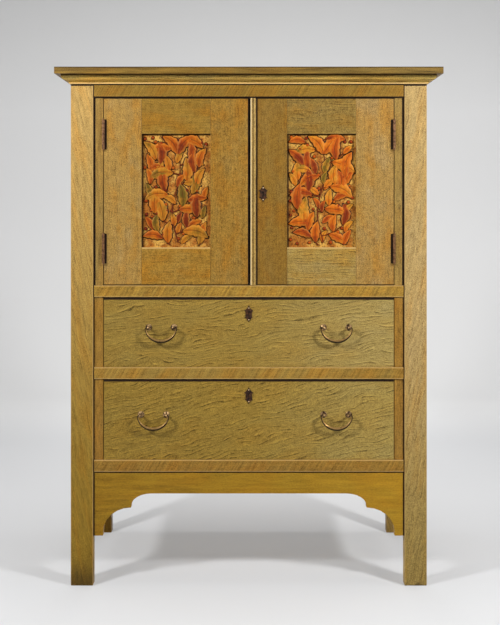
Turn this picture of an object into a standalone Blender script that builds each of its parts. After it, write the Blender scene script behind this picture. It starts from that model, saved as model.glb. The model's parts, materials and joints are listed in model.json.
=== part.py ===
"""Linen press: two panelled doors over two long drawers in a post-and-rail case.

Units are metres. The feet stand on z = 0, the front faces -Y and +X is to the right.
Every piece is its own object, and the doors, drawers, pulls and bolts hang on empties at their axes.
"""

import math

import bmesh
import bpy
from mathutils import Matrix, Vector

# Clearance between pieces that touch, and how far a cut runs past the wood that it opens
GAP = 0.0003
OVERCUT = 0.004

# Case
CASE_WIDTH = 0.960
CASE_DEPTH = 0.4355
HEIGHT = 1.393
TOP_THICKNESS = 0.018
TOP_OVERHANG = 0.0405
TOP_END_OVERHANG = 0.0366
POST_WIDTH = 0.060
POST_DEPTH = 0.028
REAR_POST_WIDTH = 0.049
SIDE_THICKNESS = 0.018
SIDE_RECESS = 0.010
BACK_THICKNESS = 0.012
BACK_RECESS = 0.006
HOUSING_DEPTH = 0.008
DADO_DEPTH = 0.006

# Front frame, from the top board down
TOP_RAIL_HEIGHT = 0.0587
DOOR_BAY_HEIGHT = 0.5076
RAIL_HEIGHT = 0.031
UPPER_BAY_HEIGHT = 0.190
LOWER_BAY_HEIGHT = 0.219
RAIL_SETBACK = 0.0015
FACE_SETBACK = 0.0055
HANGING_STILE_WIDTH = 0.0265
TENON_LENGTH = 0.015
TENON_THICKNESS = 0.012
TENON_SHOULDER = 0.006

# Cornice moulding under the top board
CORNICE_HEIGHT = 0.023
CORNICE_PROJECTION = 0.023
CORNICE_FOOT = 0.004
CORNICE_BEAD = 0.004
CORNICE_TURN_OUT = 0.0105
CORNICE_TURN_HEIGHT = 0.0090

# Apron below the bottom rail
APRON_HEIGHT = 0.060
APRON_THICKNESS = 0.020
APRON_SETBACK = 0.004
APRON_TIP_WIDTH = 0.026
APRON_TIP_STEP = 0.010
LARGE_COVE_RADIUS = 0.076
COVE_STEP = 0.005
SMALL_COVE_WIDTH = 0.055
SMALL_COVE_HEIGHT = 0.033

# Boards inside the case
FLOOR_THICKNESS = 0.015
SHELF_THICKNESS = 0.015
SHELF_HEIGHT = 0.262
SHELF_SETBACK = 0.012
DECK_THICKNESS = 0.015
GUIDE_HEIGHT = 0.030

# Doors
DOOR_THICKNESS = 0.024
DOOR_CLEARANCE = 0.0018
DOOR_GAP = 0.003
MEETING_OFFSET = 0.002
HINGE_STILE_WIDTH = 0.1015
PANEL_INNER_EDGE = 0.1035
DOOR_TOP_RAIL_HEIGHT = 0.096
DOOR_BOTTOM_RAIL_HEIGHT = 0.101
PANEL_THICKNESS = 0.008
PANEL_PLAY = 0.001
GROOVE_DEPTH = 0.010
TENON_INSET = 0.002
ASTRAGAL_WIDTH = 0.016
ASTRAGAL_PROUD = 0.006
ASTRAGAL_FILLET = 0.001
ASTRAGAL_QUIRK = 0.0014

# Butt hinges
HINGE_HEIGHT = 0.080
HINGE_INSET = 0.098
LEAF_THICKNESS = 0.0015
LEAF_LET_IN = 0.0009
LEAF_SPACE = 0.0008
LEAF_DEPTH = 0.018
KNUCKLE_RADIUS = 0.0037
KNUCKLE_CLEARANCE = 0.0005
HINGE_PIN_RADIUS = 0.0020
HINGE_PIN_CLEARANCE = 0.0005
FINIAL_RADIUS = 0.0023

# Drawers
DRAWER_CLEARANCE = 0.0018
DRAWER_TOP_CLEARANCE = 0.0025
DRAWER_FRONT_THICKNESS = 0.020
DRAWER_SIDE_THICKNESS = 0.012
DRAWER_LAP = 0.012
DRAWER_SIDE_DROP = 0.012
DRAWER_BACK_THICKNESS = 0.012
DRAWER_BACK_CLEARANCE = 0.020
BOTTOM_RISE = 0.010
BOTTOM_THICKNESS = 0.006
BOTTOM_GROOVE = 0.006

# Bail pulls: the insets are from the drawer front's ends to the pulls' middles, left then right
UPPER_PULL_INSETS = (0.1557, 0.1557)
LOWER_PULL_INSETS = (0.1347, 0.1557)
PULL_RISE = 0.013
PULL_SPACING = 0.068
PULL_STANDOFF = 0.0165
SHANK_RADIUS = 0.0025
ROSETTE_RADIUS = 0.0090
ROSETTE_THICKNESS = 0.0030
HEAD_RADIUS = 0.0048
NECK_INSET = 0.0014
STRAP_HEIGHT = 0.012
STRAP_THICKNESS = 0.002
STRAP_OVERLAP = 0.010
BAIL_DROP = 0.036
BAIL_END_RADIUS = 0.0020
BAIL_MIDDLE_RADIUS = 0.0046
BAIL_CLEARANCE = 0.0005
BAIL_PIN_CLEARANCE = 0.0006

# Locks
KEYHOLE_DROP = 0.0452
KEYHOLE_WIDTH = 0.005
KEYHOLE_HEIGHT = 0.016
KEYHOLE_DEPTH = 0.010
DOOR_LOCK_HEIGHT = 0.248
DOOR_LOCK_BACKSET = 0.0353
BOLT_WIDTH = 0.016
BOLT_THICKNESS = 0.007
BOLT_LENGTH = 0.020
BOLT_SINK = 0.0005
STRIKE_DEPTH = 0.009

# Round pieces: sides of a turned piece, points in a quarter round, stations along a bail
# and along the bend at each of its ends, and the angle in degrees from which an edge stays sharp
TURNED_SIDES = 12
QUARTER_POINTS = 6
BAIL_STATIONS = 18
BEND_STATIONS = 3
SHARP_ANGLE = 40
MERGE_DISTANCE = 1e-6

# Places worked out from the sizes above
BACK_Y = (CASE_DEPTH + TOP_OVERHANG) / 2
FRONT_Y = BACK_Y - CASE_DEPTH
FRAME_BACK_Y = FRONT_Y + POST_DEPTH
REAR_POST_Y = BACK_Y - POST_DEPTH
BACK_PANEL_Y = BACK_Y - BACK_RECESS - BACK_THICKNESS
RAIL_Y = FRONT_Y + RAIL_SETBACK
FACE_Y = FRONT_Y + FACE_SETBACK
LAP_Y = (FACE_Y + FRAME_BACK_Y) / 2
TENON_Y = RAIL_Y + TENON_SHOULDER
APRON_Y = RAIL_Y + APRON_SETBACK

CASE_X = CASE_WIDTH / 2
POST_X = CASE_X - POST_WIDTH
REAR_POST_X = CASE_X - REAR_POST_WIDTH
BAY_X = POST_X - HANGING_STILE_WIDTH
SIDE_X = CASE_X - SIDE_RECESS - SIDE_THICKNESS
BOARD_X = SIDE_X + DADO_DEPTH

TOP_Z = HEIGHT - TOP_THICKNESS
DOOR_BAY_TOP = TOP_Z - TOP_RAIL_HEIGHT
WAIST_Z = DOOR_BAY_TOP - DOOR_BAY_HEIGHT
UPPER_BAY_TOP = WAIST_Z - RAIL_HEIGHT
UPPER_BAY_Z = UPPER_BAY_TOP - UPPER_BAY_HEIGHT
LOWER_BAY_TOP = UPPER_BAY_Z - RAIL_HEIGHT
LOWER_BAY_Z = LOWER_BAY_TOP - LOWER_BAY_HEIGHT
APRON_Z = LOWER_BAY_Z - RAIL_HEIGHT
ARCH_Z = APRON_Z - APRON_HEIGHT
SMALL_COVE_Z = ARCH_Z - SMALL_COVE_HEIGHT
APRON_TIP_Z = SMALL_COVE_Z - COVE_STEP - LARGE_COVE_RADIUS
SHELF_Z = WAIST_Z + SHELF_HEIGHT

DOOR_Z = WAIST_Z + DOOR_CLEARANCE
DOOR_TOP = DOOR_BAY_TOP - DOOR_CLEARANCE
HINGE_GAP = 2 * (LEAF_THICKNESS - LEAF_LET_IN) + LEAF_SPACE
DOOR_EDGE_X = BAY_X - HINGE_GAP
HINGE_X = BAY_X - HINGE_GAP / 2
HINGE_Y = FACE_Y - KNUCKLE_RADIUS - KNUCKLE_CLEARANCE
HINGE_PLACES = {"upper": DOOR_TOP - HINGE_INSET, "lower": DOOR_Z + HINGE_INSET}
PANEL_Y = FACE_Y + (DOOR_THICKNESS - PANEL_THICKNESS) / 2
PANEL_OUTER_EDGE = DOOR_EDGE_X - HINGE_STILE_WIDTH
DOOR_LOCK_Z = WAIST_Z + DOOR_LOCK_HEIGHT
DOOR_LOCK_X = MEETING_OFFSET + DOOR_GAP / 2 + DOOR_LOCK_BACKSET
DRAWER_X = BAY_X - DRAWER_CLEARANCE
DRAWER_FRONT_BACK_Y = FACE_Y + DRAWER_FRONT_THICKNESS
DRAWER_BACK_Y = BACK_PANEL_Y - DRAWER_BACK_CLEARANCE
PULL_Y = FACE_Y - PULL_STANDOFF
BAIL_ARM_X = PULL_SPACING / 2 + HEAD_RADIUS + BAIL_CLEARANCE + BAIL_END_RADIUS
DRAWER_BOLT_Y = FACE_Y + DRAWER_FRONT_THICKNESS / 2
DOOR_BOLT_Y = FACE_Y + DOOR_THICKNESS / 2

SIDES = {"left": -1, "right": 1}


def clear_scene():
    for obj in list(bpy.data.objects):
        bpy.data.objects.remove(obj, do_unlink=True)


def finish(name, colour, roughness, metallic=0.0):
    """A plain material with the piece's colour."""
    material = bpy.data.materials.new(name)
    material.use_nodes = True
    shader = material.node_tree.nodes["Principled BSDF"]
    shader.inputs["Base Color"].default_value = (*colour, 1.0)
    shader.inputs["Roughness"].default_value = roughness
    shader.inputs["Metallic"].default_value = metallic
    return material


def axis_empty(name, place, parent=None):
    """An empty on a joint's axis, which carries the pieces that move together."""
    empty = bpy.data.objects.new(name, None)
    bpy.context.scene.collection.objects.link(empty)
    empty.parent = parent
    empty.location = Vector(place) - (world_place(parent) if parent else Vector())
    return empty


def world_place(obj):
    """World position of an unturned object, summed up through its parents."""
    place = Vector()
    while obj is not None:
        place += obj.location
        obj = obj.parent
    return place


def add_piece(name, bm, material=None, carrier=None, origin=None):
    """Turns a bmesh in world places into an object at its origin, under its carrier."""
    bmesh.ops.recalc_face_normals(bm, faces=bm.faces)
    low = Vector(min(v.co[i] for v in bm.verts) for i in range(3))
    high = Vector(max(v.co[i] for v in bm.verts) for i in range(3))
    origin = Vector(origin) if origin else (low + high) / 2
    bmesh.ops.translate(bm, verts=bm.verts, vec=-origin)
    mesh = bpy.data.meshes.new(name)
    bm.to_mesh(mesh)
    bm.free()
    obj = bpy.data.objects.new(name, mesh)
    bpy.context.scene.collection.objects.link(obj)
    obj.parent = carrier
    obj.location = origin - (world_place(carrier) if carrier else Vector())
    if material:
        mesh.materials.append(material)
    return obj


def add_box(bm, low, high):
    size = Vector(high) - Vector(low)
    middle = (Vector(high) + Vector(low)) / 2
    placed = Matrix.Translation(middle) @ Matrix.Diagonal((*size, 1.0))
    bmesh.ops.create_cube(bm, size=1.0, matrix=placed)


def board(name, low, high, material, carrier=None):
    """A plain board between two corners."""
    bm = bmesh.new()
    add_box(bm, low, high)
    return add_piece(name, bm, material, carrier)


def add_prism(bm, outline, axis, start, end):
    """Extrudes an outline along an axis: its points are in the other two axes, in X, Y, Z order."""
    ring = []
    for first, second in outline:
        point = [first, second]
        point.insert(axis, start)
        ring.append(bm.verts.new(point))
    face = bm.faces.new(ring)
    grown = bmesh.ops.extrude_face_region(bm, geom=[face])["geom"]
    move = Vector()
    move[axis] = end - start
    bmesh.ops.translate(bm, verts=[v for v in grown if isinstance(v, bmesh.types.BMVert)], vec=move)


def prism(name, outline, axis, start, end, material, carrier=None):
    bm = bmesh.new()
    add_prism(bm, outline, axis, start, end)
    return add_piece(name, bm, material, carrier)


def add_turned(bm, profile, centre, direction):
    """Spins a profile of (radius, distance along direction) round a line through centre."""
    made = bmesh.new()
    chain = [made.verts.new((radius, 0.0, along)) for radius, along in profile]
    edges = [made.edges.new(pair) for pair in zip(chain, chain[1:])]
    up = Vector((0, 0, 1))
    bmesh.ops.spin(
        made,
        geom=chain + edges,
        cent=Vector(),
        axis=up,
        angle=math.tau,
        steps=TURNED_SIDES,
        use_merge=True,
    )
    bmesh.ops.remove_doubles(made, verts=made.verts, dist=MERGE_DISTANCE)
    turn = up.rotation_difference(Vector(direction)).to_matrix().to_4x4()
    bmesh.ops.transform(made, matrix=Matrix.Translation(centre) @ turn, verts=made.verts)
    bmesh.ops.recalc_face_normals(made, faces=made.faces)
    copy = bpy.data.meshes.new("turned")
    made.to_mesh(copy)
    made.free()
    bm.from_mesh(copy)
    bpy.data.meshes.remove(copy)


def add_cylinder(bm, radius, start, end):
    """A closed cylinder between two points."""
    line = Vector(end) - Vector(start)
    add_turned(bm, [(0, 0), (radius, 0), (radius, line.length), (0, line.length)], start, line)


def combine(obj, operation, shapes):
    """Cuts or joins shapes: each is a box of two corners, or a function that adds to a bmesh."""
    bm = bmesh.new()
    for shape in shapes:
        if callable(shape):
            shape(bm)
        else:
            add_box(bm, *shape)
    tool = add_piece(f"{obj.name}.{operation.lower()}", bm)
    tool.hide_render = True
    tool.display_type = "WIRE"
    modifier = obj.modifiers.new(operation.capitalize(), "BOOLEAN")
    modifier.operation = operation
    modifier.solver = "EXACT"
    modifier.use_self = True
    modifier.object = tool


def cut(obj, *shapes):
    combine(obj, "DIFFERENCE", shapes)


def join(obj, *shapes):
    combine(obj, "UNION", shapes)


def mirrored(side, x_low, x_high):
    """An x range given for the right side, put on the named side."""
    ends = (SIDES[side] * x_low, SIDES[side] * x_high)
    return min(ends), max(ends)


def side_box(side, x_range, y_range, z_range):
    """A box whose x range is given for the right side."""
    low, high = mirrored(side, *x_range)
    return (low, y_range[0], z_range[0]), (high, y_range[1], z_range[1])


def both_sides(right_half):
    """A closed outline from its right half, mirrored in x."""
    return right_half + [(-x, other) for x, other in reversed(right_half)]


def arc(centre, radius_x, radius_z, start, end, points=QUARTER_POINTS):
    """Points along an ellipse's arc, from start to end in degrees."""
    angles = [math.radians(start + (end - start) * i / points) for i in range(points + 1)]
    return [(centre[0] + radius_x * math.cos(a), centre[1] + radius_z * math.sin(a)) for a in angles]


def grown(low, high):
    """A range opened by the clearance at both ends."""
    return low - GAP, high + GAP


def shade_round(obj):
    """Shades a turned or swept piece smooth, with its corners kept sharp."""
    obj.data.shade_smooth()
    obj.data.set_sharp_from_angle(angle=math.radians(SHARP_ANGLE))


def make_posts(wood):
    rail_tenons = (
        (APRON_Z, LOWER_BAY_Z),
        (UPPER_BAY_Z - RAIL_HEIGHT, UPPER_BAY_Z),
        (WAIST_Z - RAIL_HEIGHT, WAIST_Z),
        (DOOR_BAY_TOP, TOP_Z + OVERCUT),
    )
    side_groove_x = grown(SIDE_X, SIDE_X + SIDE_THICKNESS)
    side_groove_z = (ARCH_Z - GAP, TOP_Z + OVERCUT)
    for side in SIDES:
        post_x, post_z = (POST_X, CASE_X), (0, TOP_Z - GAP)
        mortise_x = (POST_X - OVERCUT, POST_X + TENON_LENGTH + GAP)
        housing_x = (POST_X - OVERCUT, POST_X + HOUSING_DEPTH + GAP)
        front_box = side_box(side, post_x, (FRONT_Y, FRAME_BACK_Y), post_z)
        front = board(f"front_{side}_post", *front_box, wood)
        tenon_y = grown(TENON_Y, TENON_Y + TENON_THICKNESS)
        mortises = [side_box(side, mortise_x, tenon_y, grown(*levels)) for levels in rail_tenons]
        apron_y = grown(APRON_Y, APRON_Y + APRON_THICKNESS)
        apron_housing = side_box(side, housing_x, apron_y, grown(APRON_TIP_Z, APRON_Z))
        groove_y = (FRAME_BACK_Y - HOUSING_DEPTH - GAP, FRAME_BACK_Y + OVERCUT)
        cut(front, *mortises, apron_housing, side_box(side, side_groove_x, groove_y, side_groove_z))

        rear_box = side_box(side, (REAR_POST_X, CASE_X), (REAR_POST_Y, BACK_Y), post_z)
        rear = board(f"rear_{side}_post", *rear_box, wood)
        groove_y = (REAR_POST_Y - OVERCUT, REAR_POST_Y + HOUSING_DEPTH + GAP)
        housing_x = (REAR_POST_X - OVERCUT, REAR_POST_X + HOUSING_DEPTH + GAP)
        back_y = grown(BACK_PANEL_Y, BACK_PANEL_Y + BACK_THICKNESS)
        cut(
            rear,
            side_box(side, side_groove_x, groove_y, side_groove_z),
            side_box(side, housing_x, back_y, side_groove_z),
        )


def make_side_and_back_panels(wood):
    panel_y = (FRAME_BACK_Y - HOUSING_DEPTH, REAR_POST_Y + HOUSING_DEPTH)
    dado_x = (SIDE_X - OVERCUT, BOARD_X + GAP)
    board_y = (FRAME_BACK_Y, REAR_POST_Y)
    dado_levels = (
        (WAIST_Z - FLOOR_THICKNESS, WAIST_Z),
        (UPPER_BAY_Z - DECK_THICKNESS, UPPER_BAY_Z),
        (LOWER_BAY_Z - DECK_THICKNESS, LOWER_BAY_Z),
        (SHELF_Z - SHELF_THICKNESS, SHELF_Z),
    )
    for side in SIDES:
        panel_x = (SIDE_X, SIDE_X + SIDE_THICKNESS)
        panel_box = side_box(side, panel_x, panel_y, (ARCH_Z, TOP_Z - GAP))
        panel = board(f"{side}_side_panel", *panel_box, wood)
        cut(panel, *[side_box(side, dado_x, board_y, grown(*levels)) for levels in dado_levels])
    board(
        "back_panel",
        (-REAR_POST_X - HOUSING_DEPTH, BACK_PANEL_Y, ARCH_Z),
        (REAR_POST_X + HOUSING_DEPTH, BACK_PANEL_Y + BACK_THICKNESS, TOP_Z - GAP),
        wood,
    )


def make_top(wood):
    top_x = CASE_X + TOP_END_OVERHANG
    board("top_board", (-top_x, FRONT_Y - TOP_OVERHANG, TOP_Z), (top_x, BACK_Y, HEIGHT), wood)

    # The moulding's section, as (distance out from the case, height above its foot)
    low_run, low_rise = CORNICE_TURN_OUT - CORNICE_FOOT, CORNICE_TURN_HEIGHT - CORNICE_BEAD
    high_run, high_rise = CORNICE_PROJECTION - CORNICE_TURN_OUT, CORNICE_HEIGHT - CORNICE_TURN_HEIGHT
    bead = CORNICE_BEAD / 2
    section = [(GAP, 0), (CORNICE_FOOT - bead, 0)]
    section += arc((CORNICE_FOOT - bead, bead), bead, bead, -90, 90)
    section += arc((CORNICE_TURN_OUT, CORNICE_BEAD), low_run, low_rise, 180, 90)[1:]
    section += arc((CORNICE_TURN_OUT, CORNICE_HEIGHT), high_run, high_rise, -90, 0)[1:-1]
    section += [(CORNICE_PROJECTION, CORNICE_HEIGHT - GAP), (GAP, CORNICE_HEIGHT - GAP)]
    bm = bmesh.new()
    rings = []
    for out, height in section:
        z = TOP_Z - CORNICE_HEIGHT + height
        x, front = CASE_X + out, FRONT_Y - out
        corners = ((-x, BACK_Y, z), (-x, front, z), (x, front, z), (x, BACK_Y, z))
        rings.append([bm.verts.new(corner) for corner in corners])
    for lower, upper in zip(rings, rings[1:] + rings[:1]):
        for i in range(3):
            bm.faces.new((lower[i], lower[i + 1], upper[i + 1], upper[i]))
    for end in (0, 3):
        bm.faces.new([ring[end] for ring in rings])
    add_piece("cornice_moulding", bm, wood)


def make_front_rails(wood):
    shoulder_x = POST_X - GAP
    tenon_x = POST_X + TENON_LENGTH
    tenon = [
        (shoulder_x, TENON_Y),
        (tenon_x, TENON_Y),
        (tenon_x, TENON_Y + TENON_THICKNESS),
        (shoulder_x, TENON_Y + TENON_THICKNESS),
    ]
    plain = both_sides([(shoulder_x, RAIL_Y), *tenon, (shoulder_x, FRAME_BACK_Y)])
    lap = [(shoulder_x, LAP_Y - GAP), (BAY_X - GAP, LAP_Y - GAP), (BAY_X - GAP, FRAME_BACK_Y)]
    lapped = both_sides([(shoulder_x, RAIL_Y), *tenon, *lap])

    top_rail = prism("top_rail", plain, 2, DOOR_BAY_TOP, TOP_Z - GAP, wood)
    # A ground behind the moulding brings the rail's upper half out to the front of the posts
    ground_z = (TOP_Z - CORNICE_HEIGHT, TOP_Z - 2 * GAP)
    ground_y = (FRONT_Y + GAP, RAIL_Y + TENON_SHOULDER / 2)
    ground_x = shoulder_x - GAP
    join(top_rail, ((-ground_x, ground_y[0], ground_z[0]), (ground_x, ground_y[1], ground_z[1])))

    strike_x = BOLT_WIDTH / 2 + GAP
    strike_y = grown(DRAWER_BOLT_Y - BOLT_THICKNESS / 2, DRAWER_BOLT_Y + BOLT_THICKNESS / 2)
    for name, bottom in (("waist_rail", UPPER_BAY_TOP), ("drawer_rail", LOWER_BAY_TOP)):
        rail = prism(name, lapped, 2, bottom, bottom + RAIL_HEIGHT, wood)
        strike_z = (bottom - OVERCUT, bottom + STRIKE_DEPTH)
        cut(rail, ((-strike_x, strike_y[0], strike_z[0]), (strike_x, strike_y[1], strike_z[1])))
    prism("bottom_rail", plain, 2, APRON_Z, LOWER_BAY_Z, wood)


def make_apron(wood):
    end_x = POST_X + HOUSING_DEPTH
    tip_x = POST_X - APRON_TIP_WIDTH
    large_end = tip_x - LARGE_COVE_RADIUS
    small_end = large_end - SMALL_COVE_WIDTH
    right = [(end_x, APRON_Z - GAP), (end_x, APRON_TIP_Z), (tip_x, APRON_TIP_Z)]
    cove_height = LARGE_COVE_RADIUS - APRON_TIP_STEP
    right += arc((large_end, APRON_TIP_Z + APRON_TIP_STEP), LARGE_COVE_RADIUS, cove_height, 0, 90)
    right += arc((small_end, SMALL_COVE_Z), SMALL_COVE_WIDTH, SMALL_COVE_HEIGHT, 0, 90)
    prism("apron", both_sides(right), 1, APRON_Y, APRON_Y + APRON_THICKNESS, wood)


def make_hanging_stiles(wood):
    laps = ((UPPER_BAY_TOP, WAIST_Z), (LOWER_BAY_TOP, UPPER_BAY_Z))
    lap_x, lap_y = (BAY_X - OVERCUT, POST_X + OVERCUT), (FACE_Y - OVERCUT, LAP_Y)
    leaf_x = (HINGE_X, BAY_X + LEAF_LET_IN + GAP)
    leaf_y = (FACE_Y - OVERCUT, FACE_Y + LEAF_DEPTH + GAP)
    half = HINGE_HEIGHT / 2
    for side in SIDES:
        stile_x = (BAY_X, POST_X - GAP)
        stile_z = (LOWER_BAY_Z + GAP, DOOR_BAY_TOP - GAP)
        stile_box = side_box(side, stile_x, (FACE_Y, FRAME_BACK_Y), stile_z)
        stile = board(f"{side}_hanging_stile", *stile_box, wood)
        lap_cuts = [side_box(side, lap_x, lap_y, grown(*levels)) for levels in laps]
        leaf_levels = [grown(z - half, z + half) for z in HINGE_PLACES.values()]
        leaf_cuts = [side_box(side, leaf_x, leaf_y, levels) for levels in leaf_levels]
        cut(stile, *lap_cuts, *leaf_cuts)


def make_inner_boards(wood):
    front, back = FRAME_BACK_Y + GAP, REAR_POST_Y - GAP
    rear_tongue = [(REAR_POST_X - GAP, back), (REAR_POST_X - GAP, BACK_PANEL_Y - GAP)]
    floor = both_sides([(BOARD_X, front), (BOARD_X, back), *rear_tongue])
    prism("cupboard_floor", floor, 2, WAIST_Z - FLOOR_THICKNESS, WAIST_Z, wood)
    shelf_front = front + SHELF_SETBACK
    shelf = both_sides([(BOARD_X, shelf_front), (BOARD_X, back), *rear_tongue])
    prism("cupboard_shelf", shelf, 2, SHELF_Z - SHELF_THICKNESS, SHELF_Z, wood)
    for name, top in (("upper_drawer_deck", UPPER_BAY_Z), ("lower_drawer_deck", LOWER_BAY_Z)):
        guide_x = POST_X - GAP
        right = [
            (BOARD_X, top - DECK_THICKNESS),
            (BOARD_X, top),
            (guide_x, top),
            (guide_x, top + GUIDE_HEIGHT),
            (BAY_X, top + GUIDE_HEIGHT),
            (BAY_X, top),
        ]
        prism(name, both_sides(right), 1, front, back, wood)


def make_door(side, wood, panel_wood, bronze):
    sign = SIDES[side]
    carrier = axis_empty(f"{side}_door_axis", (sign * HINGE_X, HINGE_Y, DOOR_Z))
    meeting_x = sign * MEETING_OFFSET + DOOR_GAP / 2
    panel_y = (PANEL_Y, PANEL_Y + PANEL_THICKNESS)
    groove_y = grown(*panel_y)
    back_y = FACE_Y + DOOR_THICKNESS

    def grooved_stile(name, outer, inner):
        """A stile whose panel edge, at inner, has the groove for panel and tenons along it."""
        floor = inner + math.copysign(GROOVE_DEPTH, outer - inner)
        outline = [
            (outer, FACE_Y),
            (inner, FACE_Y),
            (inner, groove_y[0]),
            (floor, groove_y[0]),
            (floor, groove_y[1]),
            (inner, groove_y[1]),
            (inner, back_y),
            (outer, back_y),
        ]
        return prism(name, [(sign * x, y) for x, y in outline], 2, DOOR_Z, DOOR_TOP, wood, carrier)

    hinge_stile = grooved_stile(f"{side}_door_hinge_stile", DOOR_EDGE_X, PANEL_OUTER_EDGE)
    leaf_x = (DOOR_EDGE_X - LEAF_LET_IN - GAP, HINGE_X)
    leaf_y = (FACE_Y - OVERCUT, FACE_Y + LEAF_DEPTH + GAP)
    half = HINGE_HEIGHT / 2
    cut(
        hinge_stile,
        *[side_box(side, leaf_x, leaf_y, grown(z - half, z + half)) for z in HINGE_PLACES.values()],
    )

    meeting_stile = grooved_stile(f"{side}_door_meeting_stile", meeting_x, PANEL_INNER_EDGE)
    bolt_y = grown(DOOR_BOLT_Y - BOLT_THICKNESS / 2, DOOR_BOLT_Y + BOLT_THICKNESS / 2)
    bolt_z = grown(DOOR_LOCK_Z - BOLT_WIDTH / 2, DOOR_LOCK_Z + BOLT_WIDTH / 2)
    if side == "right":
        pocket_x = (meeting_x - OVERCUT, meeting_x + BOLT_SINK + BOLT_LENGTH + GAP)
        keyhole_x = (DOOR_LOCK_X - KEYHOLE_WIDTH / 2, DOOR_LOCK_X + KEYHOLE_WIDTH / 2)
        keyhole_y = (FACE_Y - OVERCUT, FACE_Y + KEYHOLE_DEPTH)
        keyhole_z = (DOOR_LOCK_Z - KEYHOLE_HEIGHT / 2, DOOR_LOCK_Z + KEYHOLE_HEIGHT / 2)
        cut(
            meeting_stile,
            side_box(side, pocket_x, bolt_y, bolt_z),
            side_box(side, keyhole_x, keyhole_y, keyhole_z),
        )
    else:
        strike_x = (meeting_x - OVERCUT, meeting_x + STRIKE_DEPTH)
        cut(meeting_stile, side_box(side, strike_x, bolt_y, bolt_z))

    for name, edge, inner in (
        ("top", DOOR_TOP, DOOR_TOP - DOOR_TOP_RAIL_HEIGHT),
        ("bottom", DOOR_Z, DOOR_Z + DOOR_BOTTOM_RAIL_HEIGHT),
    ):
        into = math.copysign(1.0, edge - inner)
        floor = inner + into * GROOVE_DEPTH
        outline = [
            (FACE_Y, edge),
            (FACE_Y, inner),
            (groove_y[0], inner),
            (groove_y[0], floor),
            (groove_y[1], floor),
            (groove_y[1], inner),
            (back_y, inner),
            (back_y, edge),
        ]
        ends = mirrored(side, PANEL_INNER_EDGE + GAP, PANEL_OUTER_EDGE - GAP)
        rail = prism(f"{side}_door_{name}_rail", outline, 0, *ends, wood, carrier)
        tenon_x = (PANEL_INNER_EDGE - GROOVE_DEPTH + GAP, PANEL_OUTER_EDGE + GROOVE_DEPTH - GAP)
        tenon_z = sorted((edge - into * TENON_INSET, floor + into * TENON_INSET))
        join(rail, side_box(side, tenon_x, panel_y, tenon_z))

    into_groove = GROOVE_DEPTH - PANEL_PLAY
    panel_x = (PANEL_INNER_EDGE - into_groove, PANEL_OUTER_EDGE + into_groove)
    panel_z = (
        DOOR_Z + DOOR_BOTTOM_RAIL_HEIGHT - GROOVE_DEPTH + GAP,
        DOOR_TOP - DOOR_TOP_RAIL_HEIGHT + into_groove,
    )
    board(f"{side}_door_panel", *side_box(side, panel_x, panel_y, panel_z), panel_wood, carrier)
    for place, z in HINGE_PLACES.items():
        make_hinge(side, place, z, bronze, carrier)
    return carrier, meeting_x


def make_hinge(side, place, middle, bronze, carrier):
    """A butt hinge: the case leaf carries the pin and outer knuckles, the door leaf the middle one."""
    half = HINGE_HEIGHT / 2
    knuckle = HINGE_HEIGHT / 6
    centre = Vector((SIDES[side] * HINGE_X, HINGE_Y, middle))
    leaf_front = FACE_Y + GAP
    leaf_back = FACE_Y + LEAF_DEPTH
    inner = LEAF_SPACE / 2
    outer = inner + LEAF_THICKNESS
    hook_y = HINGE_Y + KNUCKLE_RADIUS / 2

    def leaf_outline(tabs):
        """The leaf in side view: a plate with tabs that reach forward into its knuckles."""
        points = [(leaf_back, middle - half), (leaf_front, middle - half)]
        for low, high in tabs:
            points += [(leaf_front, low), (hook_y, low), (hook_y, high), (leaf_front, high)]
        return points + [(leaf_front, middle + half), (leaf_back, middle + half)]

    inset = GAP / 2
    case_tabs = (
        (middle - half + inset, middle - knuckle - 2 * inset),
        (middle + knuckle + 2 * inset, middle + half - inset),
    )
    case_x = mirrored(side, HINGE_X + inner, HINGE_X + outer)
    case_leaf = prism(f"{side}_{place}_hinge_case_leaf", leaf_outline(case_tabs), 0, *case_x, bronze)
    lower_half = [
        (0, -half - 2 * FINIAL_RADIUS),
        (FINIAL_RADIUS, -half - FINIAL_RADIUS),
        (FINIAL_RADIUS / 2, -half),
        (KNUCKLE_RADIUS, -half),
        (KNUCKLE_RADIUS, -knuckle - inset),
        (HINGE_PIN_RADIUS, -knuckle - inset),
    ]
    barrel = lower_half + [(radius, -along) for radius, along in reversed(lower_half)]
    join(case_leaf, lambda bm: add_turned(bm, barrel, centre, (0, 0, 1)))

    door_x = mirrored(side, HINGE_X - outer, HINGE_X - inner)
    door_tabs = ((middle - knuckle + inset, middle + knuckle - inset),)
    door_name = f"{side}_{place}_hinge_door_leaf"
    door_leaf = prism(door_name, leaf_outline(door_tabs), 0, *door_x, bronze, carrier)
    reach = Vector((0, 0, knuckle - inset))
    join(door_leaf, lambda bm: add_cylinder(bm, KNUCKLE_RADIUS, centre - reach, centre + reach))
    bore = Vector((0, 0, knuckle + OVERCUT))
    bore_radius = HINGE_PIN_RADIUS + HINGE_PIN_CLEARANCE
    cut(door_leaf, lambda bm: add_cylinder(bm, bore_radius, centre - bore, centre + bore))
    shade_round(case_leaf)
    shade_round(door_leaf)


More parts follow.
